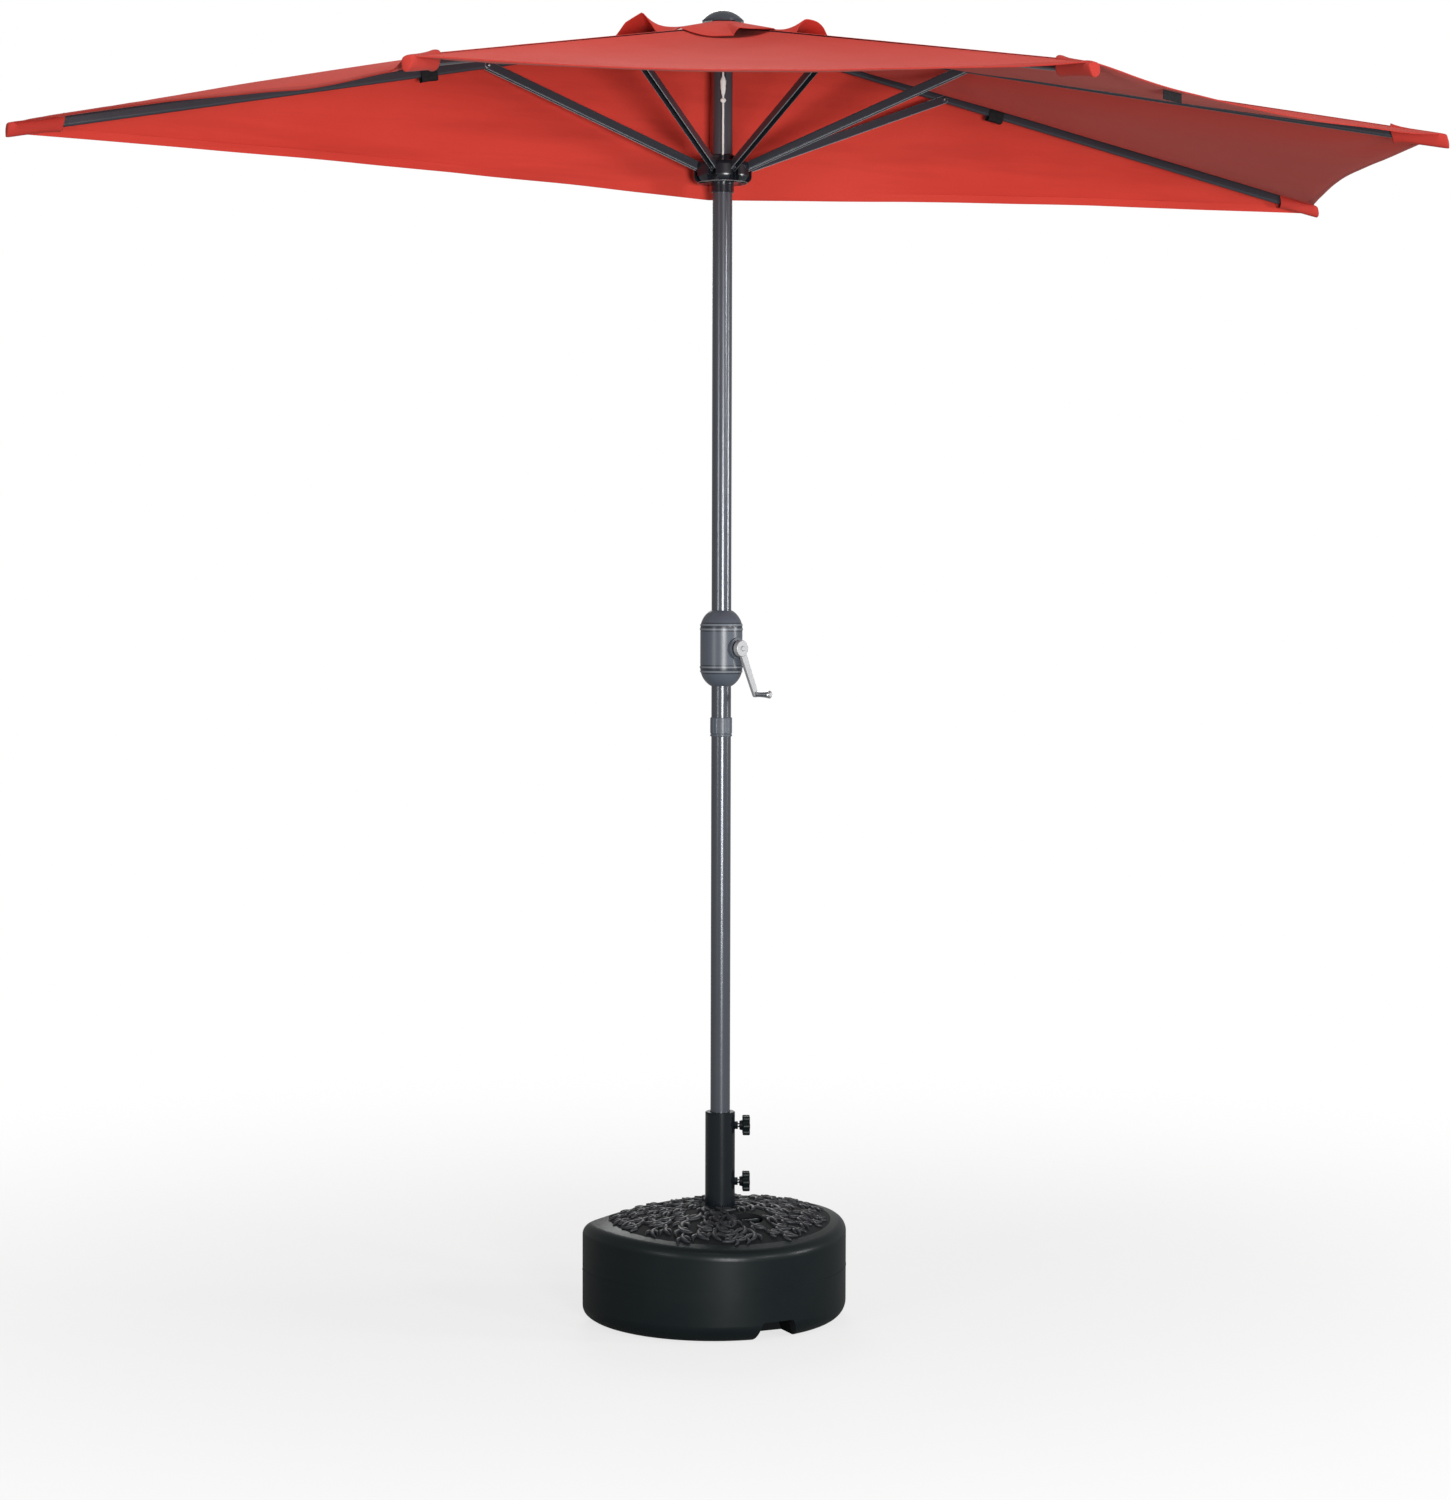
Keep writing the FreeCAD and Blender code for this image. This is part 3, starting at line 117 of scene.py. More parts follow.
def ringTube(segments, steps, closeStart=True, closeEnd=True):
    # a unit ring drawn out in steps, with each ring's vertices and their first places
    bm = bmesh.new()
    bmesh.ops.create_circle(bm, cap_ends=False, segments=segments, radius=1.0)
    rings = [[(vert, vert.co.copy()) for vert in bm.verts]]
    start = edges = list(bm.edges)
    for step in range(steps):
        out = bmesh.ops.extrude_edge_only(bm, edges=edges)["geom"]
        fresh = [item for item in out if isinstance(item, bmesh.types.BMVert)]
        edges = [item for item in out if isinstance(item, bmesh.types.BMEdge)
                 and all(vert in fresh for vert in item.verts)]
        rings.append([(vert, vert.co.copy()) for vert in fresh])
    if closeStart:
        bmesh.ops.edgeloop_fill(bm, edges=start)
    if closeEnd:
        bmesh.ops.edgeloop_fill(bm, edges=edges)
    return bm, rings


def squareOff(value, power):
    return math.copysign(abs(value) ** power, value)


def joinMeshes(parts):
    # several bmeshes as one, with the touching edges merged
    whole = bmesh.new()
    for part in parts:
        mesh = bpy.data.meshes.new("part")
        part.to_mesh(mesh)
        part.free()
        whole.from_mesh(mesh)
        bpy.data.meshes.remove(mesh)
    bmesh.ops.remove_doubles(whole, verts=whole.verts, dist=meshValues["mergeReach"])
    return whole


def faceOut(bm):
    bmesh.ops.recalc_face_normals(bm, faces=bm.faces)


def clothSolid(bm, thickness):
    # gives a sheet its thickness, with its cut edges kept sharp
    bm.normal_update()
    bmesh.ops.solidify(bm, geom=list(bm.faces), thickness=thickness)
    faceOut(bm)
    for edge in bm.edges:
        if len(edge.link_faces) == 2 and edge.calc_face_angle(0) > meshValues["sharpAngle"]:
            edge.smooth = False
    return bm


def bandSolid(bm, thickness):
    # a narrow band of cloth, centred on its sheet
    faceOut(bm)
    bm.normal_update()
    for vert, normal in [(vert, vert.normal.copy()) for vert in bm.verts]:
        vert.co += normal * thickness / 2
    return clothSolid(bm, thickness)


def faceUp(bm):
    # turns a sheet so that its faces look up
    faceOut(bm)
    if sum(face.normal.z for face in bm.faces) < 0:
        bmesh.ops.reverse_faces(bm, faces=bm.faces)


# shader helpers

def newNode(tree, kind, inputs=None, **settings):
    # a shader node; each input gets a plain value or a link from another node's socket
    node = tree.nodes.new("ShaderNode" + kind)
    for name, value in settings.items():
        setattr(node, name, value)
    for place, value in (inputs or {}).items():
        if isinstance(value, bpy.types.NodeSocket):
            tree.links.new(value, node.inputs[place])
        else:
            node.inputs[place].default_value = value
    return node


def mathNode(tree, operation, *values, clamp=False):
    inputs = dict(enumerate(values))
    return newNode(tree, "Math", inputs, operation=operation, use_clamp=clamp).outputs[0]


def noiseNode(tree, vector, scale, detail, roughness):
    inputs = {"Vector": vector, "Scale": scale, "Detail": detail, "Roughness": roughness}
    return newNode(tree, "TexNoise", inputs).outputs["Fac"]


def mixColours(tree, share, first, second):
    inputs = {"Factor": share, 6: first, 7: second}
    return newNode(tree, "Mix", inputs, data_type="RGBA").outputs[2]


def mixShaders(tree, share, first, second):
    return newNode(tree, "MixShader", {0: share, 1: first.outputs[0], 2: second.outputs[0]})


def rangeNode(tree, value, low, high, start=0.3, end=0.7, **settings):
    # start to end of the value becomes low to high, by default for the middle of a noise
    inputs = {"Value": value, "From Min": start, "From Max": end, "To Min": low, "To Max": high}
    return newNode(tree, "MapRange", inputs, **settings).outputs[0]


def startMaterial(name):
    material = bpy.data.materials.new(name)
    material.use_nodes = True
    tree = material.node_tree
    return material, tree, tree.nodes["Principled BSDF"], newNode(tree, "TexCoord")


def addBump(tree, shader, height, distance, strength=1.0, below=None):
    inputs = {"Height": height, "Distance": distance, "Strength": strength}
    if below is not None:
        inputs["Normal"] = below
    bump = newNode(tree, "Bump", inputs)
    tree.links.new(bump.outputs[0], shader.inputs["Normal"])
    return bump.outputs[0]


# camera, lamps and floor

cameraValues = {"distance": 5.651, "azimuth": 24.5, "height": 1.305, "turn": 24.58,
                "tilt": -2.89, "roll": 0.15, "lens": 78.85, "sensor": 36, "farEnd": 60}
lampValues = {
    "key": {"place": (-1.1, -6.0, 1.0), "aim": (0, -0.3, 1.6), "size": 1.6, "power": 262},
    "side": {"place": (4.2, -2.8, 1.6), "aim": (0, -0.2, 1.3), "size": 0.9, "power": 70},
    "strip": {"place": (2.4, -5.3, 2.5), "aim": (0, -0.2, 1.6), "size": 0.7, "power": 55},
    "fill": {"place": (-4.8, -2.4, 1.5), "aim": (0, -0.3, 1.2), "size": 1.2, "power": 42},
    "top": {"place": (-0.6, -1.6, 5.0), "aim": (0, -0.3, 0.5), "size": 2.4, "power": 72},
    "back": {"place": (1.8, 4.5, 3.2), "aim": (0, 0, 1.5), "size": 2.2, "power": 70},
}
stageValues = {"floorSeen": (0.90, 0.90, 0.905, 1), "floorBounce": (0.34, 0.34, 0.34, 1),
               "floorGlow": 0.72, "floorRadius": 3.6, "floorReach": 0.7, "floorFade": 3.0,
               "worldLight": 0.22, "glossShare": 0.2}


def makeCamera(values):
    data = bpy.data.cameras.new("mainCamera")
    data.sensor_fit = "HORIZONTAL"
    data.sensor_width = values["sensor"]
    data.lens = values["lens"]
    data.clip_end = values["farEnd"]
    camera = bpy.data.objects.new("mainCamera", data)
    scene.collection.objects.link(camera)
    angle = math.radians(values["azimuth"])
    camera.location = (-math.sin(angle) * values["distance"],
                       -math.cos(angle) * values["distance"], values["height"])
    turn = (Matrix.Rotation(-math.radians(values["turn"]), 3, "Z")
            @ Matrix.Rotation(math.radians(90 + values["tilt"]), 3, "X")
            @ Matrix.Rotation(math.radians(values["roll"]), 3, "Z"))
    camera.rotation_euler = turn.to_euler()
    scene.camera = camera


def makeLamp(name, values):
    data = bpy.data.lights.new(name, "AREA")
    data.shape = "DISK"
    data.size = values["size"]
    data.energy = values["power"]
    lamp = bpy.data.objects.new(name, data)
    scene.collection.objects.link(lamp)
    lamp.location = values["place"]
    aim = Vector(values["aim"]) - Vector(values["place"])
    lamp.rotation_euler = aim.to_track_quat("-Z", "Y").to_euler()


def makeWorld(values):
    # soft even light, with plain white behind everything and a little of it in shiny parts
    world = bpy.data.worlds.new("studio")
    scene.world = world
    world.use_nodes = True
    tree = world.node_tree
    tree.nodes.clear()
    output = newNode(tree, "OutputWorld")
    light = newNode(tree, "Background", {"Color": (1, 1, 1, 1), "Strength": values["worldLight"]})
    seen = newNode(tree, "Background", {"Color": (1, 1, 1, 1)})
    path = newNode(tree, "LightPath")
    gloss = mathNode(tree, "MULTIPLY", path.outputs["Is Glossy Ray"], values["glossShare"])
    white = mathNode(tree, "MAXIMUM", path.outputs["Is Camera Ray"], gloss)
    white = mathNode(tree, "MAXIMUM", white, path.outputs["Is Transmission Ray"])
    mix = mixShaders(tree, white, light, seen)
    tree.links.new(mix.outputs[0], output.inputs[0])


def makeFloor(values):
    # a pale disc of floor that fades into the white round it
    bm = bmesh.new()
    bmesh.ops.create_circle(bm, cap_ends=True, segments=96, radius=values["floorRadius"])
    material = bpy.data.materials.new("paleFloor")
    material.use_nodes = True
    tree = material.node_tree
    tree.nodes.clear()
    output = newNode(tree, "OutputMaterial")
    path = newNode(tree, "LightPath")
    tint = mixColours(tree, path.outputs["Is Camera Ray"], values["floorBounce"], values["floorSeen"])
    matt = newNode(tree, "BsdfDiffuse", {"Color": tint})
    glow = newNode(tree, "Emission")
    share = mathNode(tree, "MULTIPLY", path.outputs["Is Camera Ray"], values["floorGlow"])
    pale = mixShaders(tree, share, matt, glow)
    coords = newNode(tree, "TexCoord")
    length = newNode(tree, "VectorMath", {0: coords.outputs["Object"]}, operation="LENGTH")
    fade = rangeNode(tree, length.outputs["Value"], 0.0, 1.0, values["floorReach"],
                     values["floorFade"], interpolation_type="SMOOTHSTEP")
    mix = mixShaders(tree, fade, pale, newNode(tree, "BsdfTransparent"))
    tree.links.new(mix.outputs[0], output.inputs[0])
    addObject("paleFloor", bm, material)


makeCamera(cameraValues)
for lampName, values in lampValues.items():
    makeLamp(lampName + "Lamp", values)
makeWorld(stageValues)
makeFloor(stageValues)
print("camera, lamps and floor done")


# shader node groups

# for each noise: scale, detail and roughness; without a scale it comes from the group's inputs
groupValues = {"grain": (3.0, 0.6), "patches": (4.0, 0.55), "slubs": (260.0, 2.0, 0.5),
               "scratches": (6.0, 3.0, 0.6), "scratchStretch": (30, 30, 240),
               "spots": (35.0, 3.0, 0.6), "wearFrom": 0.3, "wearContrast": 6.0}


def newGroup(name, inputs, outputs):
    group = bpy.data.node_groups.new(name, "ShaderNodeTree")
    for label, kind, value in inputs:
        socket = group.interface.new_socket(name=label, in_out="INPUT", socket_type=kind)
        socket.default_value = value
    for label, kind in outputs:
        group.interface.new_socket(name=label, in_out="OUTPUT", socket_type=kind)
    return group, group.nodes.new("NodeGroupInput"), group.nodes.new("NodeGroupOutput")


def makeGrainGroup():
    # fine pits of a moulded or powder-coated skin, with slow changes of shine
    group, given, result = newGroup(
        "surfaceGrain",
        [("Vector", "NodeSocketVector", (0, 0, 0)), ("Grain Scale", "NodeSocketFloat", 900.0),
         ("Patch Scale", "NodeSocketFloat", 9.0)],
        [("Grain", "NodeSocketFloat"), ("Patches", "NodeSocketFloat")])
    grain = noiseNode(group, given.outputs["Vector"], given.outputs["Grain Scale"],
                      *groupValues["grain"])
    patches = noiseNode(group, given.outputs["Vector"], given.outputs["Patch Scale"],
                        *groupValues["patches"])
    group.links.new(grain, result.inputs["Grain"])
    group.links.new(patches, result.inputs["Patches"])
    return group


def makeWeaveGroup():
    # a plain weave on a UV map in metres: threads that pass over and under each other
    group, given, result = newGroup(
        "plainWeave",
        [("Vector", "NodeSocketVector", (0, 0, 0)), ("Thread", "NodeSocketFloat", 0.0011)],
        [("Height", "NodeSocketFloat"), ("Thread Shade", "NodeSocketFloat")])
    split = newNode(group, "SeparateXYZ", {0: given.outputs["Vector"]})
    waves = []
    for axis in "XY":
        turns = mathNode(group, "DIVIDE", split.outputs[axis], given.outputs["Thread"])
        waves.append(mathNode(group, "SINE", mathNode(group, "MULTIPLY", turns, math.pi)))
    height = mathNode(group, "MULTIPLY_ADD", mathNode(group, "MULTIPLY", *waves), 0.5, 0.5)
    slubs = noiseNode(group, given.outputs["Vector"], *groupValues["slubs"])
    group.links.new(height, result.inputs["Height"])
    group.links.new(slubs, result.inputs["Thread Shade"])
    return group


def makeWearGroup():
    # pale rubbed spots and short scratches
    values = groupValues
    group, given, result = newGroup(
        "rubbedMarks",
        [("Vector", "NodeSocketVector", (0, 0, 0)), ("Amount", "NodeSocketFloat", 0.2)],
        [("Mask", "NodeSocketFloat")])
    stretched = newNode(group, "Mapping",
                        {"Vector": given.outputs["Vector"], "Scale": values["scratchStretch"]})
    scratches = noiseNode(group, stretched.outputs[0], *values["scratches"])
    spots = noiseNode(group, given.outputs["Vector"], *values["spots"])
    both = mathNode(group, "MULTIPLY", scratches, spots)
    raised = mathNode(group, "SUBTRACT", both, values["wearFrom"])
    strong = mathNode(group, "MULTIPLY", raised, values["wearContrast"], clamp=True)
    mask = mathNode(group, "MULTIPLY", strong, given.outputs["Amount"])
    group.links.new(mask, result.inputs["Mask"])
    return group


grainGroup = makeGrainGroup()
weaveGroup = makeWeaveGroup()
wearGroup = makeWearGroup()


def useGroup(tree, group, vector, **values):
    node = newNode(tree, "Group", {"Vector": vector}, node_tree=group)
    for label, value in values.items():
        node.inputs[label.replace("_", " ")].default_value = value
    return node


# finishes

clothValues = {
    "canopy": {"colour": (0.60, 0.052, 0.036, 1), "deep": (0.50, 0.036, 0.026, 1), "thread": 0.0011},
    "curtain": {"colour": (0.63, 0.052, 0.034, 1), "deep": (0.54, 0.038, 0.026, 1), "thread": 0.0011,
                # creases: how strong the curtain's painted crease shade is
                "creases": 0.4},
    # hem: the canopy cloth darkened, painted shade for the hems and tip pockets that face the lamps
    "hem": {"colour": (0.46, 0.038, 0.027, 1), "deep": (0.38, 0.027, 0.020, 1), "thread": 0.0011},
}
clothLook = {
    "foldScale": 16.0, "foldBump": (0.0012, 0.5), "weaveBump": (0.00012, 0.6),      # depth, strength
    "patchScale": 2.2, "patchTone": 0.6, "threadTone": 0.3,     # share of the deeper colour
    "rough": (0.72, 0.86), "shine": 0.18,
    "sheen": 0.08, "sheenRough": 0.45, "sheenTint": (1.0, 0.62, 0.56, 1),
    # painted crease shade on the curtain: how the noise is stretched, the noise, the part of it that darkens, and
    # how much darker
    "creaseScale": (2.2, 2.2, 24.0), "creaseNoise": (1.0, 4.0, 0.6),
    "creaseRange": (0.46, 0.70), "creaseDim": 0.66,
}
coatBase = {"metallic": 0.0, "shine": 0.5}      # for every coat that doesn't say otherwise
coatValues = {
    "slateSteel": {"colour": (0.080, 0.088, 0.103, 1), "worn": (0.22, 0.23, 0.25, 1), "metallic": 0.35,
                   "rough": (0.21, 0.25), "grain": 1400.0, "depth": 0.000001, "wear": 0.05},
    "slateRib": {"colour": (0.042, 0.049, 0.060, 1), "worn": (0.16, 0.17, 0.19, 1), "metallic": 0.2,
                 "rough": (0.18, 0.24), "grain": 1400.0, "depth": 0.000003, "wear": 0.005,
                 "shine": 0.6},
    "slatePlastic": {"colour": (0.085, 0.100, 0.125, 1), "worn": (0.14, 0.15, 0.17, 1),
                     "rough": (0.30, 0.38), "grain": 1100.0, "depth": 0.00003, "wear": 0.10},
    "blackPlastic": {"colour": (0.0055, 0.0095, 0.0105, 1), "worn": (0.026, 0.032, 0.034, 1),
                     "rough": (0.30, 0.38), "grain": 620.0, "depth": 0.00004, "wear": 0.05, "shine": 0.22},
    "leafPlastic": {"colour": (0.017, 0.019, 0.023, 1), "worn": (0.045, 0.048, 0.055, 1),
                    "rough": (0.40, 0.48), "grain": 620.0, "depth": 0.00004, "wear": 0.10, "shine": 0.40},
    "blackSteel": {"colour": (0.006, 0.009, 0.012, 1), "worn": (0.03, 0.034, 0.04, 1),
                   "rough": (0.17, 0.23), "grain": 1500.0, "depth": 0.00001, "wear": 0.08, "shine": 0.35},
    "darkPlastic": {"colour": (0.010, 0.013, 0.018, 1), "worn": (0.03, 0.034, 0.04, 1),
                    "rough": (0.18, 0.25), "grain": 1100.0, "depth": 0.00001, "wear": 0.06},
    "rubber": {"colour": (0.012, 0.012, 0.012, 1), "worn": (0.035, 0.035, 0.035, 1),
               "rough": (0.6, 0.75), "grain": 800.0, "depth": 0.00008, "wear": 0.1, "shine": 0.25},
    "brightSteel": {"colour": (0.36, 0.37, 0.38, 1), "worn": (0.26, 0.27, 0.28, 1), "metallic": 0.9,
                    "rough": (0.36, 0.46), "grain": 900.0, "depth": 0.00002, "wear": 0.4},
    "silverAlloy": {"colour": (0.48, 0.49, 0.50, 1), "worn": (0.34, 0.35, 0.36, 1), "metallic": 0.9,
                    "rough": (0.32, 0.42), "grain": 1000.0, "depth": 0.00002, "wear": 0.3},
    "crankAlloy": {"colour": (0.50, 0.51, 0.52, 1), "worn": (0.36, 0.37, 0.38, 1), "metallic": 0.7,
                   "rough": (0.54, 0.62), "grain": 900.0, "depth": 0.00003, "wear": 0.25},
    "chrome": {"colour": (0.62, 0.63, 0.65, 1), "worn": (0.45, 0.45, 0.47, 1), "metallic": 1.0,
               "rough": (0.14, 0.22), "grain": 500.0, "depth": 0.00001, "wear": 0.2},
}


def makeCoat(name, values):
    values = {**coatBase, **values}
    material, tree, shader, coords = startMaterial(name)
    grain = useGroup(tree, grainGroup, coords.outputs["Object"], Grain_Scale=values["grain"])
    wear = useGroup(tree, wearGroup, coords.outputs["Object"], Amount=values["wear"])
    colour = mixColours(tree, wear.outputs["Mask"], values["colour"], values["worn"])
    rough = rangeNode(tree, grain.outputs["Patches"], *values["rough"])
    if "bands" in values or "ground" in values:
        parts = newNode(tree, "SeparateXYZ", {0: coords.outputs["Object"]})
    # painted shade and highlight bands at the given heights
    for height, half, tone in values.get("bands", []):
        band = mathNode(tree, "COMPARE", parts.outputs["Z"], height, half)
        colour = mixColours(tree, band, colour, tone)
    if "ground" in values:
        # painted shade: darker within the leaf relief on top of the base, where the leaves shade the ground
        # between them, and duller there too
        reach, tone, dull = values["ground"]
        squares = [mathNode(tree, "POWER", mathNode(tree, "DIVIDE", parts.outputs[axis], size), 2.0)
                   for axis, size in zip("XY", reach)]
        reliefShadeMask = mathNode(tree, "LESS_THAN", mathNode(tree, "ADD", *squares), 1.0)
        colour = mixColours(tree, reliefShadeMask, colour, tone)
        rough = mathNode(tree, "MAXIMUM", rough, mathNode(tree, "MULTIPLY", reliefShadeMask, dull))
    if "edge" in values:
        # painted highlight: the folded edges of the channels get a lighter colour where they bend, as if they
        # caught the light
        radius, highlightBendRange, tone = values["edge"]
        soft = newNode(tree, "Bevel", {"Radius": radius})
        plain = newNode(tree, "NewGeometry")
        bend = newNode(tree, "VectorMath", {0: soft.outputs[0], 1: plain.outputs["Normal"]},
                       operation="DOT_PRODUCT")
        share = rangeNode(tree, bend.outputs["Value"], 0.0, 1.0, *highlightBendRange)
        colour = mixColours(tree, share, colour, tone)
    tree.links.new(colour, shader.inputs["Base Color"])
    tree.links.new(rough, shader.inputs["Roughness"])
    shader.inputs["Metallic"].default_value = values["metallic"]
    shader.inputs["Specular IOR Level"].default_value = values["shine"]
    addBump(tree, shader, grain.outputs["Grain"], values["depth"])
    return material


def makeCloth(name, values):
    material, tree, shader, coords = startMaterial(name)
    look = clothLook
    weave = useGroup(tree, weaveGroup, coords.outputs["UV"], Thread=values["thread"])
    folds = useGroup(tree, grainGroup, coords.outputs["Object"], Grain_Scale=look["foldScale"],
                     Patch_Scale=look["patchScale"])
    shade = mixColours(tree, rangeNode(tree, folds.outputs["Patches"], 0.0, look["patchTone"]),
                       values["colour"], values["deep"])
    if "creases" in values:
        # painted shade: darker soft level lines for the creases where the cloth is drawn along the wall side
        stretch = newNode(tree, "Mapping",
                          {"Vector": coords.outputs["Object"], "Scale": look["creaseScale"]})
        creaseShadeLines = noiseNode(tree, stretch.outputs["Vector"], *look["creaseNoise"])
        share = rangeNode(tree, creaseShadeLines, 0.0, values["creases"], *look["creaseRange"])
        creaseShadeColour = tuple(part * look["creaseDim"] for part in values["deep"][:3]) + (1,)
        shade = mixColours(tree, share, shade, creaseShadeColour)
    threads = mixColours(tree, rangeNode(tree, weave.outputs["Thread Shade"], 0.0, look["threadTone"]),
                         shade, values["deep"])
    tree.links.new(threads, shader.inputs["Base Color"])
    tree.links.new(rangeNode(tree, folds.outputs["Patches"], *look["rough"]), shader.inputs["Roughness"])
    shader.inputs["Sheen Weight"].default_value = look["sheen"]
    shader.inputs["Sheen Roughness"].default_value = look["sheenRough"]
    shader.inputs["Sheen Tint"].default_value = look["sheenTint"]
    shader.inputs["Specular IOR Level"].default_value = look["shine"]
    creases = addBump(tree, shader, folds.outputs["Grain"], *look["foldBump"])
    addBump(tree, shader, weave.outputs["Height"], *look["weaveBump"], creases)
    return material


crankHeight = joints["crank_turn"]["pos_m"][2]
# painted lines round the crank housing: the darker grooves are painted shade, the lighter rings painted highlight
housingValues = {
    "groove": (0.028, 0.034, 0.044, 1), "ring": (0.17, 0.19, 0.22, 1),
    # away from the crank, half height and colour: painted shade in the grooves, painted highlight on the rings
    "bands": [(0.0375, 0.0022, "groove"), (0.0306, 0.0010, "groove"), (0.0444, 0.0010, "groove"),
              (0.0335, 0.0013, "ring"), (0.0415, 0.0013, "ring")],
}
coatValues["housingPlastic"] = {
    **coatValues["slatePlastic"],
    "bands": [(crankHeight + sense * offset, half, housingValues[tone])
              for sense in (-1, 1) for offset, half, tone in housingValues["bands"]],
}
# the struts' finish, with a painted highlight along their bent edges
coatValues["slateStrut"] = {
    **coatValues["slateRib"],
    # edge: the colour is a painted highlight
    "edge": (0.0017, (0.99, 0.84), (0.44, 0.46, 0.49, 1)),      # radius, how bent, colour
}
coatValues["tankPlastic"] = {
    **coatValues["blackPlastic"],
    # ground: the colour is painted shade between the leaves
    "ground": ((0.202, 0.182), (0.0035, 0.0048, 0.0058, 1), 0.8),       # reach, colour, roughness
}
finishes = {name: makeCoat(name, values) for name, values in coatValues.items()}
clothFinish = {name: makeCloth(name + "Cloth", values) for name, values in clothValues.items()}

braidValues = {"scale": 320.0, "distortion": 1.5, "dark": (0.80, 0.79, 0.75, 1),
               "light": (0.93, 0.93, 0.90, 1), "rough": 0.7, "depth": 0.0003}
webbingValues = {"thread": 0.0014, "dark": (0.010, 0.010, 0.011, 1),
                 "light": (0.028, 0.028, 0.030, 1), "rough": 0.82, "shine": 0.08, "depth": 0.0002}


def makeCordFinish(values):
    material, tree, shader, coords = startMaterial("whiteBraid")
    wave = newNode(tree, "TexWave", {"Vector": coords.outputs["Object"], "Scale": values["scale"],
                                     "Distortion": values["distortion"]},
                   wave_type="BANDS", bands_direction="DIAGONAL")
    colour = mixColours(tree, wave.outputs["Fac"], values["dark"], values["light"])
    tree.links.new(colour, shader.inputs["Base Color"])
    shader.inputs["Roughness"].default_value = values["rough"]
    addBump(tree, shader, wave.outputs["Fac"], values["depth"])
    return material


def makeWebbingFinish(values):
    material, tree, shader, coords = startMaterial("blackWebbing")
    weave = useGroup(tree, weaveGroup, coords.outputs["Object"], Thread=values["thread"])
    colour = mixColours(tree, weave.outputs["Thread Shade"], values["dark"], values["light"])
    tree.links.new(colour, shader.inputs["Base Color"])
    shader.inputs["Roughness"].default_value = values["rough"]
    shader.inputs["Specular IOR Level"].default_value = values["shine"]
    addBump(tree, shader, weave.outputs["Height"], values["depth"])
    return material


cordFinish = makeCordFinish(braidValues)
webbingFinish = makeWebbingFinish(webbingValues)
print("finishes done:", len(bpy.data.materials))


# the lift cord: up inside the pole, over the pulley and down to the runner

cordValues = {
    "azimuth": 247.5, "radius": 0.0018, "inner": 0.0016, "outer": 0.0206,
    "drum": (0.0084, 0.0035, 1.201), "pulleyHeight": 2.226, "bend": 0.0095, "runnerEnd": 2.0552,
    "innerLength": 1.056,
    # thicker lengths: ends, half width, half depth, shape from the top down, where in the noise
    "splice": ((2.2050, 2.1710), 0.0052, 0.0029, (0.35, 0.75, 1.0, 0.95, 0.8, 0.9, 0.7, 0.6, 0.4), 3),
    "knot": ((2.1672, 2.1588), 0.0050, 0.0031, (0.4, 0.85, 1.0, 0.9, 0.45), 8),
    "lumpRough": (2, 0.9, 0.16), "segments": 16, "resolution": (12, 4),
}


def makeCordLine(name, points, radius):
    # a smooth spline through the route, round in section
    data = bpy.data.curves.new(name, "CURVE")
    data.dimensions = "3D"
    spline = data.splines.new("NURBS")
    spline.points.add(len(points) - 1)
    for point, spot in zip(spline.points, points):
        point.co = (*spot, 1)
    spline.order_u = 3
    spline.use_endpoint_u = True
    data.resolution_u, data.bevel_resolution = cordValues["resolution"]
    data.bevel_depth = radius
    line = bpy.data.objects.new(name, data)
    scene.collection.objects.link(line)
    return line


def makeLump(name, ends, wide, deep, profile, seed):
    # a thicker length on the outer run, drawn out of a ring
    values = cordValues
    out = flatDirection(values["azimuth"])
    side = flatDirection(values["azimuth"] + 90)
    axis = out * values["outer"]
    bm, rings = ringTube(values["segments"], len(profile) - 1)
    around, spacing, rise = values["lumpRough"]
    for step, (ring, size) in enumerate(zip(rings, profile)):
        height = blendValue(*ends, step / (len(profile) - 1))
        for vert, flat in ring:
            place = Vector((flat.x * around, flat.y * around, step * spacing + seed))
            rough = size + rise * noise.noise(place)
            vert.co = (axis + side * flat.x * wide * rough + out * flat.y * deep * rough
                       + Vector((0, 0, height)))
    faceOut(bm)
    return addObject(name, bm, cordFinish, "runner")


def makeCords(values):
    out = flatDirection(values["azimuth"])

    def spot(reach, height):
        return tuple(out * reach + Vector((0, 0, height)))

    pulley, bend = values["pulleyHeight"], values["bend"]
    inner = makeCordLine("liftCordInner",
                         [values["drum"], spot(values["inner"], pulley - bend),
                          spot(values["inner"], pulley + bend), spot(values["outer"], pulley + bend),
                          spot(values["outer"], pulley)], values["radius"])
    inner.data.materials.append(cordFinish)
    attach(inner, "mast_upper")
    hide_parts("lift_cord_inner")

    moved = values["splice"][0][0]     # the splice's top; the splice and knot below it ride the runner
    route = [spot(values["outer"], height) for height in (pulley, moved, values["runnerEnd"])]
    line = makeCordLine("cordRoute", route, 0.0)
    path = [tuple(vert.co) for vert in bpy.data.meshes.new_from_object(line).vertices]
    line.data.bevel_depth = values["radius"]
    line.data.use_fill_caps = True
    mesh = bpy.data.meshes.new_from_object(line)
    bpy.data.objects.remove(line)
    mesh.materials.clear()
    mesh.materials.append(cordFinish)
    mesh.polygons.foreach_set("use_smooth", [True] * len(mesh.polygons))
    outer = bpy.data.objects.new("liftCordOuter", mesh)
    scene.collection.objects.link(outer)
    lumps = [makeLump("cordSplice", *values["splice"]), makeLump("cordKnot", *values["knot"])]
    spot(values["outer"], moved)
    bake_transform(outer)
    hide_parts("lift_cord_outer")


makeCords(cordValues)
print("lift cord done")


# the canopy cloth, one gore for each rib

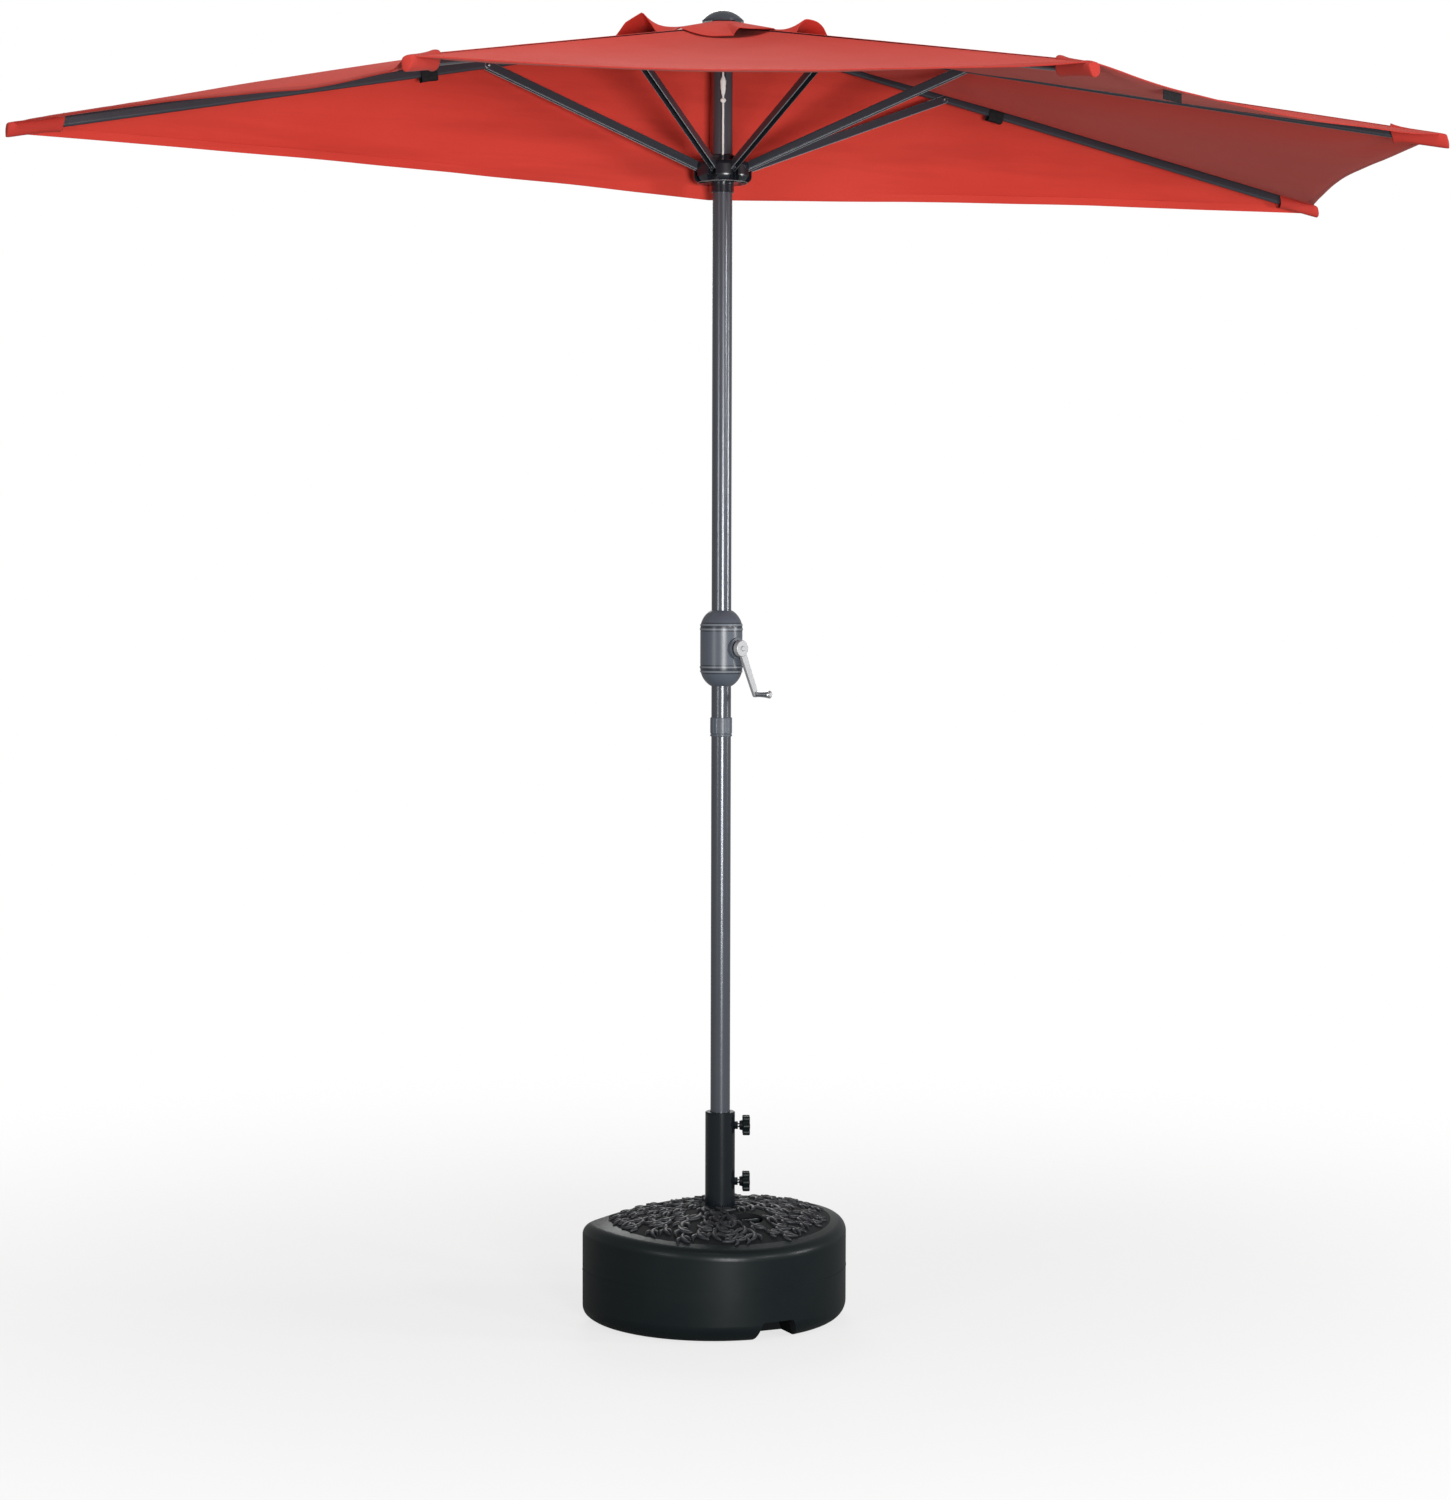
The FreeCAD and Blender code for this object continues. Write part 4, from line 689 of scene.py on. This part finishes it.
canopyValues = {
    "ribs": [("a", 180.0), ("b", 225.0), ("c", 270.0), ("d", 315.0), ("e", 360.0)],
    "step": 45.0,
    "reach": 1.25,          # rib tips from the pole's axis
    "hole": 0.075,          # the open middle, under the vent cap
    "slope": 11.22,
    "overRib": 0.0136,      # cloth above the line through the rib's pivots
    "hemCurve": 0.0455,     # how far the hem curves in at mid-panel
    "sags": (-0.013, 0.020, 0.010, 0.018),      # how far each panel hangs, from rib a to rib e
    "hemDips": (0.003, 0.0175, 0.0175, 0.014),
    "hemDroops": (0.0175, 0.0, 0.0, 0.0),      # how far the last of the panel curls down
    "thickness": 0.0012,
    "backEdge": (0.0095, 0.044),   # wall-side edge behind the pole's plane, at the tip and the hole
    "sagPower": 2.7, "swellPowers": (0.85, 0.6), "billow": (0.25, 0.65),
    "curlRise": (0.72, 1.9), "curlStop": (0.955, 1.0), "curlPower": 9,
    "ripples": ((2.6, 4.1, 0.0035), (9, 1.7, 0.0009)),      # how fine, where in the noise, height
    "rippleEdges": (1.6, 0.2),
    "creases": {"height": 0.0045, "folds": 16, "reach": 0.13, "start": 0.05, "edge": 3},
    "rows": 72, "columns": 14, "backColumns": 3,
    "rowPower": 0.9, "columnPower": 1.25,       # closer rows at the hem, columns at the ribs
    "uvWidths": (0.48, 0.04),       # a half panel and the strip behind the end ribs
    "foldReach": 0.6, "foldKeep": 0.07,     # where folding cloth would gather and what would be left of it; nothing here folds the cloth
}
pinPlace = joints["rib_e_hinge"]["pos_m"]
pinReach, pinHeight = pinPlace[0], pinPlace[2]
slopeTan = math.tan(math.radians(canopyValues["slope"]))


def ribHeight(reach):
    return pinHeight - (reach - pinReach) * slopeTan


def clothRipple(x, y):
    return sum(noise.noise(Vector((x * fine, y * fine, layer))) * height
               for fine, layer, height in canopyValues["ripples"])


def cornerCrease(x, y, tipAngle):
    # short folds that run from a tip pocket into the panel
    values = canopyValues["creases"]
    tip = flatDirection(tipAngle) * canopyValues["reach"]
    away = Vector((x, y, 0)) - tip
    angle = math.atan2(away.y, away.x)
    fade = math.exp(-away.length / values["reach"]) * easeShare(away.length, 0.0, values["start"])
    return values["height"] * fade * math.sin(angle * values["folds"] + tipAngle)


def panelDepth(panel, across, along):
    # how far a panel hangs under the line of its ribs
    values = canopyValues
    cross = 1 - abs(2 * across - 1) ** values["sagPower"]
    early, full = values["swellPowers"]
    swell = math.sin(math.pi * min(max(along, 0.0), 1.0) ** early) ** full
    if values["sags"][panel] < 0:
        swell *= easeShare(along, *values["billow"])      # only the outer part of it billows up
    along = max(along, 0.0)
    reach, power = values["curlRise"]
    curl = (values["hemDroops"][panel] * min(1.0, (max(across, 0.0) / reach) ** power)
            * (1 - easeShare(across, *values["curlStop"])) * along ** values["curlPower"])
    return (values["sags"][panel] * swell + values["hemDips"][panel] * along) * cross + curl


def panelPoint(panel, across, along):
    # panel 0 to 3, across 0 to 1 between its two ribs, along 0 to 1 from the hole to the hem
    values = canopyValues
    firstAngle = values["ribs"][panel][1]
    bow = 4 * across * (1 - across)
    outer = values["reach"] - values["hemCurve"] * bow
    reach = blendValue(values["hole"], outer, along)
    first = flatDirection(firstAngle) * reach
    second = flatDirection(firstAngle + values["step"]) * reach
    flat = first.lerp(second, across)
    z = ribHeight(reach) + values["overRib"] - panelDepth(panel, across, along)
    edge, start = values["rippleEdges"]
    z += clothRipple(flat.x, flat.y) * min(1.0, bow * edge) * easeShare(along, 0, start)
    loose = min(1.0, bow * values["creases"]["edge"])
    z += loose * (cornerCrease(flat.x, flat.y, firstAngle)
                  + cornerCrease(flat.x, flat.y, firstAngle + values["step"]))
    return Vector((flat.x, flat.y, z))


def backPoint(sense, across, along):
    # the narrow strip between an end rib and the wall-side edge
    values = canopyValues
    reach = blendValue(values["hole"], values["reach"], along)
    edge = blendValue(values["backEdge"][1], values["backEdge"][0], along)
    return Vector((sense * reach, edge * across, ribHeight(reach) + values["overRib"]))


def panelHalves(index):
    # the panels beside a rib, each with the side of it, 0 or 1, that the rib is on
    return [(panel, near) for panel, near in ((index - 1, 1.0), (index, 0.0)) if 0 <= panel < 4]


def canopySide(panel, near):
    # half a panel, from the rib to mid-panel
    values = canopyValues
    width = values["uvWidths"][0] * (1 - 2 * near)
    return gridSheet(values["columns"], values["rows"],
                     lambda a, b: panelPoint(panel, blendValue(near, 0.5, a ** values["columnPower"]),
                                             b ** values["rowPower"]),
                     lambda a, b: (a * width, b * values["reach"]))


def foldSquash(obj, letter, angle, anchor=None):
    # gives the piece its own mesh; the point where the cloth would gather towards its rib as the rib goes down is
    # worked out but not used
    reach = canopyValues["foldReach"]
    spot = anchor or tuple(flatDirection(angle) * reach + Vector((0, 0, ribHeight(reach))))
    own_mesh(obj)


def clothArea(bm):
    return sum(face.calc_area() for face in bm.faces)


def makeGore(index):
    values = canopyValues
    letter, angle = values["ribs"][index]
    sides = [canopySide(panel, near) for panel, near in panelHalves(index)]
    if index in (0, 4):
        sense = -1 if index == 0 else 1
        sides.append(gridSheet(values["backColumns"], values["rows"],
                               lambda a, b: backPoint(sense, a, b ** values["rowPower"]),
                               lambda a, b: (a * values["uvWidths"][1], b * values["reach"])))
    bm = joinMeshes(sides)
    faceUp(bm)
    area = clothArea(bm)
    gore = addObject("canopyGore_" + letter, clothSolid(bm, values["thickness"]),
                     clothFinish["canopy"], "rib_" + letter)
    foldSquash(gore, letter, angle)
    return gore, area


gores = {letter: makeGore(index) for index, (letter, angle) in enumerate(canopyValues["ribs"])}
print("canopy gores done")


# hems, rib seams and tip pockets

hemValues = {"width": 0.014, "thickness": 0.0018, "columns": 28, "rows": 3, "end": 1.001}
seamValues = {"width": 0.009, "thickness": 0.0005, "columns": 4, "rows": 60, "end": 1.243,
              "lie": 0.981, "over": 0.0002, "edgeDip": 0.0003, "wobble": (30, 0.0004),
              "uvSize": (0.011, 1.2)}
pocketValues = {"start": 1.160, "end": 1.2535, "top": 0.0150, "bottom": -0.0098, "half": 0.0092,
                "thickness": 0.0010, "slant": 0.38, "keel": 0.30,
                "sections": [(0.0, 1.3, 1.3), (0.16, 1.08, 1.03), (0.55, 1.0, 0.97),
                             (0.90, 0.96, 0.95), (0.985, 0.90, 0.90), (1.0, 0.82, 0.84)],
                "segments": 14, "corners": (0.7, 0.8), "keelPower": 1.5, "wrinkle": (70, 0.0026)}
sewnOn = {letter: [] for letter, angle in canopyValues["ribs"]}


def ribFrame(angle):
    # along the rib, across it and square to it, from the hinge pin
    slope = math.radians(canopyValues["slope"])
    out = flatDirection(angle)
    along = out * math.cos(slope) - Vector((0, 0, math.sin(slope)))
    lift = out * math.sin(slope) + Vector((0, 0, math.cos(slope)))
    across = flatDirection(angle + 90)
    start = out * pinReach + Vector((0, 0, pinHeight))
    return lambda s, t, n: start + along * s + across * t + lift * n


def makeHem(index):
    # the turned edge of a gore, a little thicker, in the hem cloth whose darker colour is painted shade
    values = hemValues
    letter, angle = canopyValues["ribs"][index]
    inset = values["width"] / (canopyValues["reach"] - canopyValues["hole"])
    bm = joinMeshes([gridSheet(values["columns"], values["rows"],
                               lambda a, b: panelPoint(panel, blendValue(near, 0.5, a),
                                                       values["end"] - inset * (1 - b)),
                               lambda a, b: (a * canopyValues["uvWidths"][0], b * values["width"]))
                     for panel, near in panelHalves(index)])
    hem = addObject("canopyHem_" + letter, bandSolid(bm, values["thickness"]),
                    clothFinish["hem"], "rib_" + letter)
    foldSquash(hem, letter, angle)
    sewnOn[letter].append(hem)


def makeRibSeam(index):
    # the felled seam that runs over the top of a rib
    values = seamValues
    letter, angle = canopyValues["ribs"][index]
    frameAt = ribFrame(angle)
    half = values["width"] / 2
    fine, sway = values["wobble"]
    first = (canopyValues["hole"] - pinReach) / math.cos(math.radians(canopyValues["slope"]))

    def place(a, b):
        s = blendValue(first, values["end"], b)
        t = blendValue(-half, half, a) + noise.noise(Vector((s * fine, index, 0))) * sway
        n = (canopyValues["overRib"] * values["lie"] + values["over"]
             - values["edgeDip"] * (2 * a - 1) ** 2)
        return frameAt(s, t, n)

    bm = gridSheet(values["columns"], values["rows"], place,
                   lambda a, b: (a * values["uvSize"][0], b * values["uvSize"][1]))
    seam = addObject("ribSeam_" + letter, bandSolid(bm, values["thickness"]),
                     clothFinish["canopy"], "rib_" + letter)
    sewnOn[letter].append(seam)


def makeTipPocket(index):
    # the cloth pocket that the rib's end sits in: a ring drawn out along the rib and closed
    letter, angle = canopyValues["ribs"][index]
    values = pocketValues
    frameAt = ribFrame(angle)
    bm, rings = ringTube(values["segments"], len(values["sections"]) - 1, closeStart=False)
    fine, wrinkle = values["wrinkle"]
    middle = (values["top"] + values["bottom"]) / 2
    tall = (values["top"] - values["bottom"]) / 2
    for (share, wide, deep), ring in zip(values["sections"], rings):
        s = blendValue(values["start"], values["end"], share)
        for vert, flat in ring:
            # narrow under the rib
            keel = 1 - values["keel"] * max(0.0, -flat.y) ** values["keelPower"]
            t = squareOff(flat.x, values["corners"][0]) * values["half"] * wide * keel
            n = middle + squareOff(flat.y, values["corners"][1]) * tall * deep
            spot = frameAt(s - (n - middle) * values["slant"], t, n)
            crumple = noise.noise_vector(spot * fine + Vector((index * 7, 0, 0)))
            vert.co = spot + crumple * wrinkle
    faceOut(bm)
    # in the hem cloth, darkened with painted shade
    pocket = addObject("tipPocket_" + letter, bm, clothFinish["hem"], "rib_" + letter)
    wall = pocket.modifiers.new("thickness", "SOLIDIFY")
    wall.thickness = values["thickness"]
    wall.offset = -1
    wall.use_even_offset = False
    smoothing = pocket.modifiers.new("soft", "SUBSURF")
    smoothing.levels = smoothing.render_levels = 1
    sewnOn[letter].append(pocket)


for index in range(len(canopyValues["ribs"])):
    makeHem(index)
    makeRibSeam(index)
    makeTipPocket(index)
print("hems, seams and pockets done")


# the vent cap over the crown

ventValues = {
    "inner": 0.021, "outer": 0.209, "hemCurve": 0.012, "startHeight": 0.0252,
    "cornerLift": 0.0038, "rows": 20, "columns": 14, "thickness": 0.0012,
    # how the loose hem of each panel stands up off the canopy: share across, height, width to
    # the left and right, and roundness
    "lifts": [[(0.37, 0.037, 0.60, 0.22, 1.1), (0.82, -0.0055, 0.26, 0.18, 2.0)],
              [],
              [(0.67, 0.036, 0.27, 0.27, 2.6)],
              [(0.5, 0.026, 0.35, 0.35, 2.0)]],
    "liftPower": 5, "freeEdge": 2.2,
    "tautFrom": 0.60, "tautBlend": 0.03,    # where the front panel's hem springs off the canopy
    "lyingPower": 1.2, "wrinkle": (25, 0.0025), "uvSize": (0.08, 0.2), "keep": 0.3,
}


def ventHeight(reach):
    # straight from the crown down to the corner that is sewn to the canopy
    values = ventValues
    top = pinHeight + values["startHeight"]
    low = ribHeight(values["outer"]) + canopyValues["overRib"] + values["cornerLift"]
    return blendValue(top, low, (reach - values["inner"]) / (values["outer"] - values["inner"]))


def ventPoint(panel, across, along):
    values = ventValues
    bow = 4 * across * (1 - across)
    outer = values["outer"] - values["hemCurve"] * bow
    reach = blendValue(values["inner"], outer, along)
    firstAngle = canopyValues["ribs"][panel][1]
    first = flatDirection(firstAngle) * reach
    second = flatDirection(firstAngle + canopyValues["step"]) * reach
    flat = first.lerp(second, across)
    rise = 0.0
    for centre, height, left, right, roundness in values["lifts"][panel]:
        off = abs(across - centre) / (left if across < centre else right)
        rise += height * max(0.0, 1 - off ** roundness)
    free = min(1.0, bow * values["freeEdge"])
    shallow = (reach - canopyValues["hole"]) / (canopyValues["reach"] - canopyValues["hole"])
    lying = panelDepth(panel, across, shallow)
    if panel == 1:
        lying *= 1 - easeShare(across, values["tautFrom"] - values["tautBlend"],
                               values["tautFrom"] + values["tautBlend"])
    z = (ventHeight(reach) - lying * along ** values["lyingPower"]
         + rise * free * along ** values["liftPower"])
    fine, wrinkle = values["wrinkle"]
    z += noise.noise(Vector((flat.x * fine, flat.y * fine, panel))) * wrinkle * free * along
    return Vector((flat.x, flat.y, z))


def makeVent(index):
    values = ventValues
    letter, angle = canopyValues["ribs"][index]
    width, length = values["uvSize"]
    bm = joinMeshes([gridSheet(values["columns"], values["rows"],
                               lambda a, b: ventPoint(panel, blendValue(near, 0.5, a), b),
                               lambda a, b: (a * width * (1 - 2 * near), b * length))
                     for panel, near in panelHalves(index)])
    faceUp(bm)
    area = clothArea(bm)
    vent = addObject("ventCap_" + letter, clothSolid(bm, values["thickness"]),
                     clothFinish["canopy"], "rib_" + letter)
    foldSquash(vent, letter, angle)
    return vent, area


vents = {letter: makeVent(index) for index, (letter, angle) in enumerate(canopyValues["ribs"])}
print("vent cap done")


# the curtain on the wall side

curtainValues = {
    "reach": 1.243, "tipDrop": 0.016, "hemMiddle": 1.9985, "backTop": 0.0475, "backHem": 0.0605,
    "tipBack": 0.0088, "rows": 26, "columns": 84, "thickness": 0.0012, "underCanopy": 0.0008,
    "hemWidth": 0.014, "hemThickness": 0.0022, "hemRows": 3, "hemDrop": 0.0006,
    "hemPower": 1.04, "hemBow": 0.006, "least": 0.004,
    "belly": (0.010, 1.02, 1.15),       # depth, and how early it closes downward and outward
    # how fine along and down, where in the noise, depth
    "waves": ((2.4, 5, 8, 0.012), (6, 9, 3, 0.009), (15, 16, 5, 0.0012)),
    "waveFrom": (0.03, 0.3), "wavePower": 0.5, "hemShare": 0.9, "uvSize": (1.24, 0.28), "keep": 0.12,
}


def curtainPoint(sense, outward, down):
    # outward 0 to 1 from the middle to the tip, down 0 to 1 from the canopy to the hem
    values = curtainValues
    reach = values["reach"] * outward
    flatReach = max(reach, canopyValues["hole"])
    top = ribHeight(flatReach) + canopyValues["overRib"] - values["underCanopy"]
    tipTop = ribHeight(values["reach"]) + canopyValues["overRib"] - values["underCanopy"]
    share = outward ** values["hemPower"]
    hem = blendValue(values["hemMiddle"], tipTop - values["tipDrop"], share)
    hem += values["hemBow"] * math.sin(math.pi * outward)
    z = blendValue(top, min(hem, top - values["least"]), down)
    y = blendValue(blendValue(values["backTop"], values["backHem"], down), values["tipBack"], outward)
    depth, low, far = values["belly"]
    y += (math.sin(math.pi * min(1.0, down * low))
          * math.sin(math.pi * min(outward * far, 1)) * depth)
    waves = sum(noise.noise(Vector((sense * reach * along, z * upright, layer))) * height
                for along, upright, layer, height in values["waves"])
    y += (waves * math.sin(math.pi * outward) ** values["wavePower"]
          * easeShare(down, *values["waveFrom"]))
    return Vector((sense * reach, y, z))


def makeCurtain(sense, letter, label):
    values = curtainValues
    angle = 180.0 if sense < 0 else 0.0
    width, height = values["uvSize"]
    bm = gridSheet(values["columns"], values["rows"], lambda a, b: curtainPoint(sense, a, b),
                   lambda a, b: (a * width, b * height))
    area = clothArea(bm)
    curtain = addObject("wallCurtain_" + label, clothSolid(bm, values["thickness"]),
                        clothFinish["curtain"], "rib_" + letter)

    def hemPlace(a, b):
        spot = curtainPoint(sense, a, 1.0)
        over = curtainPoint(sense, a, 0.0)
        reach = min(values["hemWidth"], (over - spot).length * values["hemShare"])
        return (spot + (over - spot).normalized() * reach * (1 - b)
                + Vector((0, 0, -values["hemDrop"])))

    bm = gridSheet(values["columns"], values["hemRows"], hemPlace,
                   lambda a, b: (a * width, b * values["hemWidth"]))
    hem = addObject("curtainHem_" + label, bandSolid(bm, values["hemThickness"]),
                    clothFinish["curtain"], "rib_" + letter)
    for piece in (curtain, hem):
        foldSquash(piece, letter, angle)
    return curtain, area, hem


curtains = {"a": makeCurtain(-1, "a", "left"), "e": makeCurtain(1, "e", "right")}
print("curtain done")


# the CAD curtains and canopy gores are hidden; the gores on the end ribs have half a panel

for letter, (curtain, area, hem) in curtains.items():
    side = "left" if letter == "a" else "right"
    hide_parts("wall_curtain_" + side)
for letter, (gore, area) in gores.items():
    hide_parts("canopy_gore_" + letter)


# small fittings: webbing clips, strut rivets, runner wire and a bare tab

clipValues = {"ribs": ("a", "e"), "along": 0.528, "length": 0.029, "half": 0.0078,
              "bottom": -0.0125, "top": 0.0131, "thickness": 0.0013, "keep": 0.73,
              "segments": 32, "steps": 4, "corners": 0.45, "pinch": 0.05, "narrow": 0.28}
rivetValues = {"reach": 0.440, "radius": 0.0036, "height": 0.0016, "side": 0.0066,
               "segments": (20, 10), "skirt": -0.1}
wireValues = {"ring": 0.0440, "radius": 0.0007, "rise": 0.0012, "segments": (10, 96)}
tabValues = {"panel": 2, "across": 0.265, "along": 0.990, "half": (0.026, 0.0078),
             "out": -0.0030, "down": 0.0072, "thickness": 0.0014, "cells": (6, 4),
             "uvSize": (0.038, 0.020), "angle": 315.0, "slopeStep": 0.02}


def makeClip(letter, angle):
    # a loop of webbing round the rib that holds the cloth to it
    values = clipValues
    frameAt = ribFrame(angle)
    steps, corners = values["steps"], values["corners"]
    bm, rings = ringTube(values["segments"], steps, False, False)
    middle = (values["top"] + values["bottom"]) / 2
    tall = (values["top"] - values["bottom"]) / 2
    for step, ring in enumerate(rings):
        pinch = 1 - values["pinch"] * math.sin(math.pi * step / steps)
        for vert, flat in ring:
            vert.co = frameAt(values["along"] + values["length"] * (step / steps - 0.5),
                              squareOff(flat.x, corners) * values["half"] * pinch
                              * (1 - values["narrow"] * max(0.0, flat.y)),
                              middle + squareOff(flat.y, corners) * tall * pinch)
    clip = addObject("webbingClip_" + letter, bandSolid(bm, values["thickness"]), webbingFinish,
                     "rib_" + letter)
    up = (frameAt(0, 0, 1) - frameAt(0, 0, 0)).normalized()
    top = tuple(frameAt(values["along"], 0, values["top"]))
    foldSquash(clip, letter, angle, top)


def makeRivets(letter, angle):
    # the domed heads on both sides of the rib where the strut is pinned
    values = rivetValues
    frameAt = ribFrame(angle)
    along = (values["reach"] - pinReach) / math.cos(math.radians(canopyValues["slope"]))
    around, rings = values["segments"]
    bm = bmesh.new()
    for sense in (-1, 1):
        made = bmesh.ops.create_uvsphere(bm, u_segments=around, v_segments=rings, radius=1.0)["verts"]
        for vert in made:
            flat = vert.co.copy()
            vert.co = frameAt(along + flat.x * values["radius"],
                              sense * (values["side"] + max(flat.z, values["skirt"]) * values["height"]),
                              flat.y * values["radius"])
    faceOut(bm)
    addObject("strutRivets_" + letter, bm, finishes["brightSteel"], "rib_" + letter)


def makeRunnerWire():
    # the wire ring that keeps the strut pins in the runner
    values = wireValues
    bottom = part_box("runner_hub")[0][2]
    bm = bmesh.new()
    start = Matrix.Translation((values["ring"], 0, bottom + values["rise"]))
    thin, around = values["segments"]
    bmesh.ops.create_circle(bm, cap_ends=False, segments=thin, radius=values["radius"],
                            matrix=start @ Matrix.Rotation(math.pi / 2, 4, "X"))
    bmesh.ops.spin(bm, geom=list(bm.verts) + list(bm.edges), cent=(0, 0, 0), axis=(0, 0, 1),
                   angle=math.pi * 2, steps=around, use_merge=True, use_duplicate=False)
    faceOut(bm)
    addObject("runnerWire", bm, finishes["brightSteel"], "runner")


def makeTab(values):
    # a plain woven tab sewn on the hem, with nothing on it
    centre, beside = [panelPoint(values["panel"], values["across"] + step, values["along"])
                      for step in (0, values["slopeStep"])]
    right = (beside - centre).normalized()
    down = Vector((0, 0, -1))
    down = (down - right * down.dot(right)).normalized()
    centre = (centre + Vector((centre.x, centre.y, 0)).normalized() * values["out"]
              + down * values["down"])

    def place(a, b):
        return (centre + right * (2 * a - 1) * values["half"][0]
                + down * (2 * b - 1) * values["half"][1])

    bm = gridSheet(*values["cells"], place,
                   lambda a, b: (a * values["uvSize"][0], b * values["uvSize"][1]))
    tab = addObject("wovenTab", clothSolid(bm, values["thickness"]), webbingFinish,
                    "rib_d")
    foldSquash(tab, "d", values["angle"])


for letter, angle in canopyValues["ribs"]:
    if letter in clipValues["ribs"]:
        makeClip(letter, angle)
    makeRivets(letter, angle)
makeRunnerWire()
makeTab(tabValues)
print("fittings done")


# the leaf relief on top of the base

reliefValues = {
    "tries": 4000, "spacing": 0.0225, "leafLength": 0.0370, "leafWidth": 0.0100, "rise": 0.0045,
    "reach": (0.188, 0.168), "centre": (-0.003, -0.002), "back": 0.066, "poleClear": 0.040,
    "plugClear": 0.039, "seed": 11,
    "curl": (14, 2.2),      # how often the sprigs change their way, and how far they turn
    "sizes": (0.85, 1.15),
    # the two side leaves: turn from the middle one, length, start, width and rise against its own
    "sideTurn": (0.75, 1.05), "sideLength": (0.50, 0.68), "sideStart": 0.22, "sideWidth": 0.8,
    "sideRise": 0.92,
    "leafCells": (8, 7), "leafBow": 0.9, "leafTaper": 0.2, "leafCrown": 0.4, "leafSkirt": -0.1,
    "castHeight": 0.6, "flatEnough": 0.8,
}


def makeLeafMesh():
    # a flat-topped pointed leaf, one unit long, wide and high
    values = reliefValues
    around, rings = values["leafCells"]
    bm = bmesh.new()
    bmesh.ops.create_uvsphere(bm, u_segments=around, v_segments=rings, radius=1.0,
                              matrix=Matrix.Rotation(math.pi / 2, 4, "Y"))
    for vert in bm.verts:
        flat = vert.co.copy()
        taper = (1.001 - abs(flat.x)) ** values["leafTaper"]      # just over nothing at the points
        vert.co = (flat.x / 2, flat.y / 2 * taper + values["leafBow"] * flat.x ** 2,
                   squareOff(max(flat.z, values["leafSkirt"]), values["leafCrown"]))
    faceOut(bm)
    mesh = bpy.data.meshes.new("leaf")
    bm.to_mesh(mesh)
    bm.free()
    return mesh


def addLeaf(bm, leaf, tree, x, y, heading, length, width, rise, flip=1):
    # lays a leaf on the top of the base, sunk in so that its skirt closes on it
    above = Vector((x, y, reliefValues["castHeight"]))
    spot, normal, index, distance = tree.ray_cast(above, Vector((0, 0, -1)))
    if spot is None or normal.z < reliefValues["flatEnough"]:
        return
    forward = Vector((math.cos(heading), math.sin(heading), 0))
    forward = (forward - normal * forward.dot(normal)).normalized()
    side = normal.cross(forward) * flip
    lay = Matrix((forward * length, side * width, normal * rise)).transposed().to_4x4()
    lay.translation = spot
    leaf = leaf.copy()
    leaf.transform(lay)
    bm.from_mesh(leaf)
    bpy.data.meshes.remove(leaf)


def reliefAllows(x, y, plug):
    values = reliefValues
    across = (x - values["centre"][0]) / values["reach"][0]
    away = (y - values["centre"][1]) / values["reach"][1]
    return (across ** 2 + away ** 2 < 1 and y < values["back"]
            and math.hypot(x, y) > values["poleClear"]
            and math.hypot(x - plug[0], y - plug[1]) > values["plugClear"])


def makeRelief(values):
    # sprigs of three leaves, spread evenly and pointing away from the pole in curls
    tank = bmesh.new()
    tank.from_mesh(nodes["base_tank"].data)
    tree = BVHTree.FromBMesh(tank)
    tank.free()
    low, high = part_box("filler_plug")
    plug = ((low[0] + high[0]) / 2, (low[1] + high[1]) / 2)
    draw = random.Random(values["seed"])
    leaf = makeLeafMesh()
    fine, turnMost = values["curl"]
    bm = bmesh.new()
    sprigs = []
    for attempt in range(values["tries"]):
        x = draw.uniform(-1, 1) * values["reach"][0]
        y = draw.uniform(-1, 1) * values["reach"][1]
        spread = min([math.hypot(x - other[0], y - other[1]) for other in sprigs] or [1])
        if spread < values["spacing"] or not reliefAllows(x, y, plug):
            continue
        sprigs.append((x, y))
        curl = noise.noise(Vector((x * fine, y * fine, 2.0))) * turnMost
        heading = math.atan2(y, x) + curl
        size = draw.uniform(*values["sizes"])
        length, width = values["leafLength"] * size, values["leafWidth"] * size
        addLeaf(bm, leaf, tree, x, y, heading, length, width, values["rise"],
                1 if curl > 0 else -1)
        for sense in (-1, 1):
            turn = heading + sense * draw.uniform(*values["sideTurn"])
            small = length * draw.uniform(*values["sideLength"])
            spot = [start - part(heading) * length * values["sideStart"] + part(turn) * small / 2
                    for start, part in ((x, math.cos), (y, math.sin))]
            addLeaf(bm, leaf, tree, *spot, turn, small, width * values["sideWidth"],
                    values["rise"] * values["sideRise"], -sense)
    print("sprigs on the base:", len(sprigs))
    bpy.data.meshes.remove(leaf)
    faceOut(bm)
    addObject("leafRelief", bm, finishes["leafPlastic"], "base")


makeRelief(reliefValues)
print("base relief done")


# finishes on the CAD parts

slotFinish = {
    "black_plastic": "blackPlastic", "black_steel": "blackSteel", "rubber_seal": "rubber",
    "bright_steel": "brightSteel", "slate_steel": "slateSteel", "slate_plastic": "slatePlastic",
    "silver_alloy": "silverAlloy", "chrome_grip": "chrome", "ballast": "rubber",
}
slotOf = {part["node"]: part["material_slot"] for part in frame["record"]["subparts"]}
for name, obj in nodes.items():
    wanted = slotOf[name]
    material = cordFinish if wanted == "lift_cord" else finishes.get(slotFinish.get(wanted, "rubber"))
    for holder in obj.material_slots:
        holder.material = material
ownFinish = {"runner_hub": "darkPlastic", "runner_bush": "darkPlastic", "finial": "slateRib",
             "crown_hub": "slateRib", "base_tank": "tankPlastic", "rib_": "slateRib",
             "strut_": "slateStrut", "crank_housing": "housingPlastic",
             "crank_arm": "crankAlloy", "crank_screw": "crankAlloy", "crank_axle": "crankAlloy"}
for name, obj in nodes.items():
    for start, wanted in ownFinish.items():
        if name.startswith(start) and not name.startswith("rib_tip"):
            for holder in obj.material_slots:
                holder.material = finishes[wanted]
print("part finishes done")
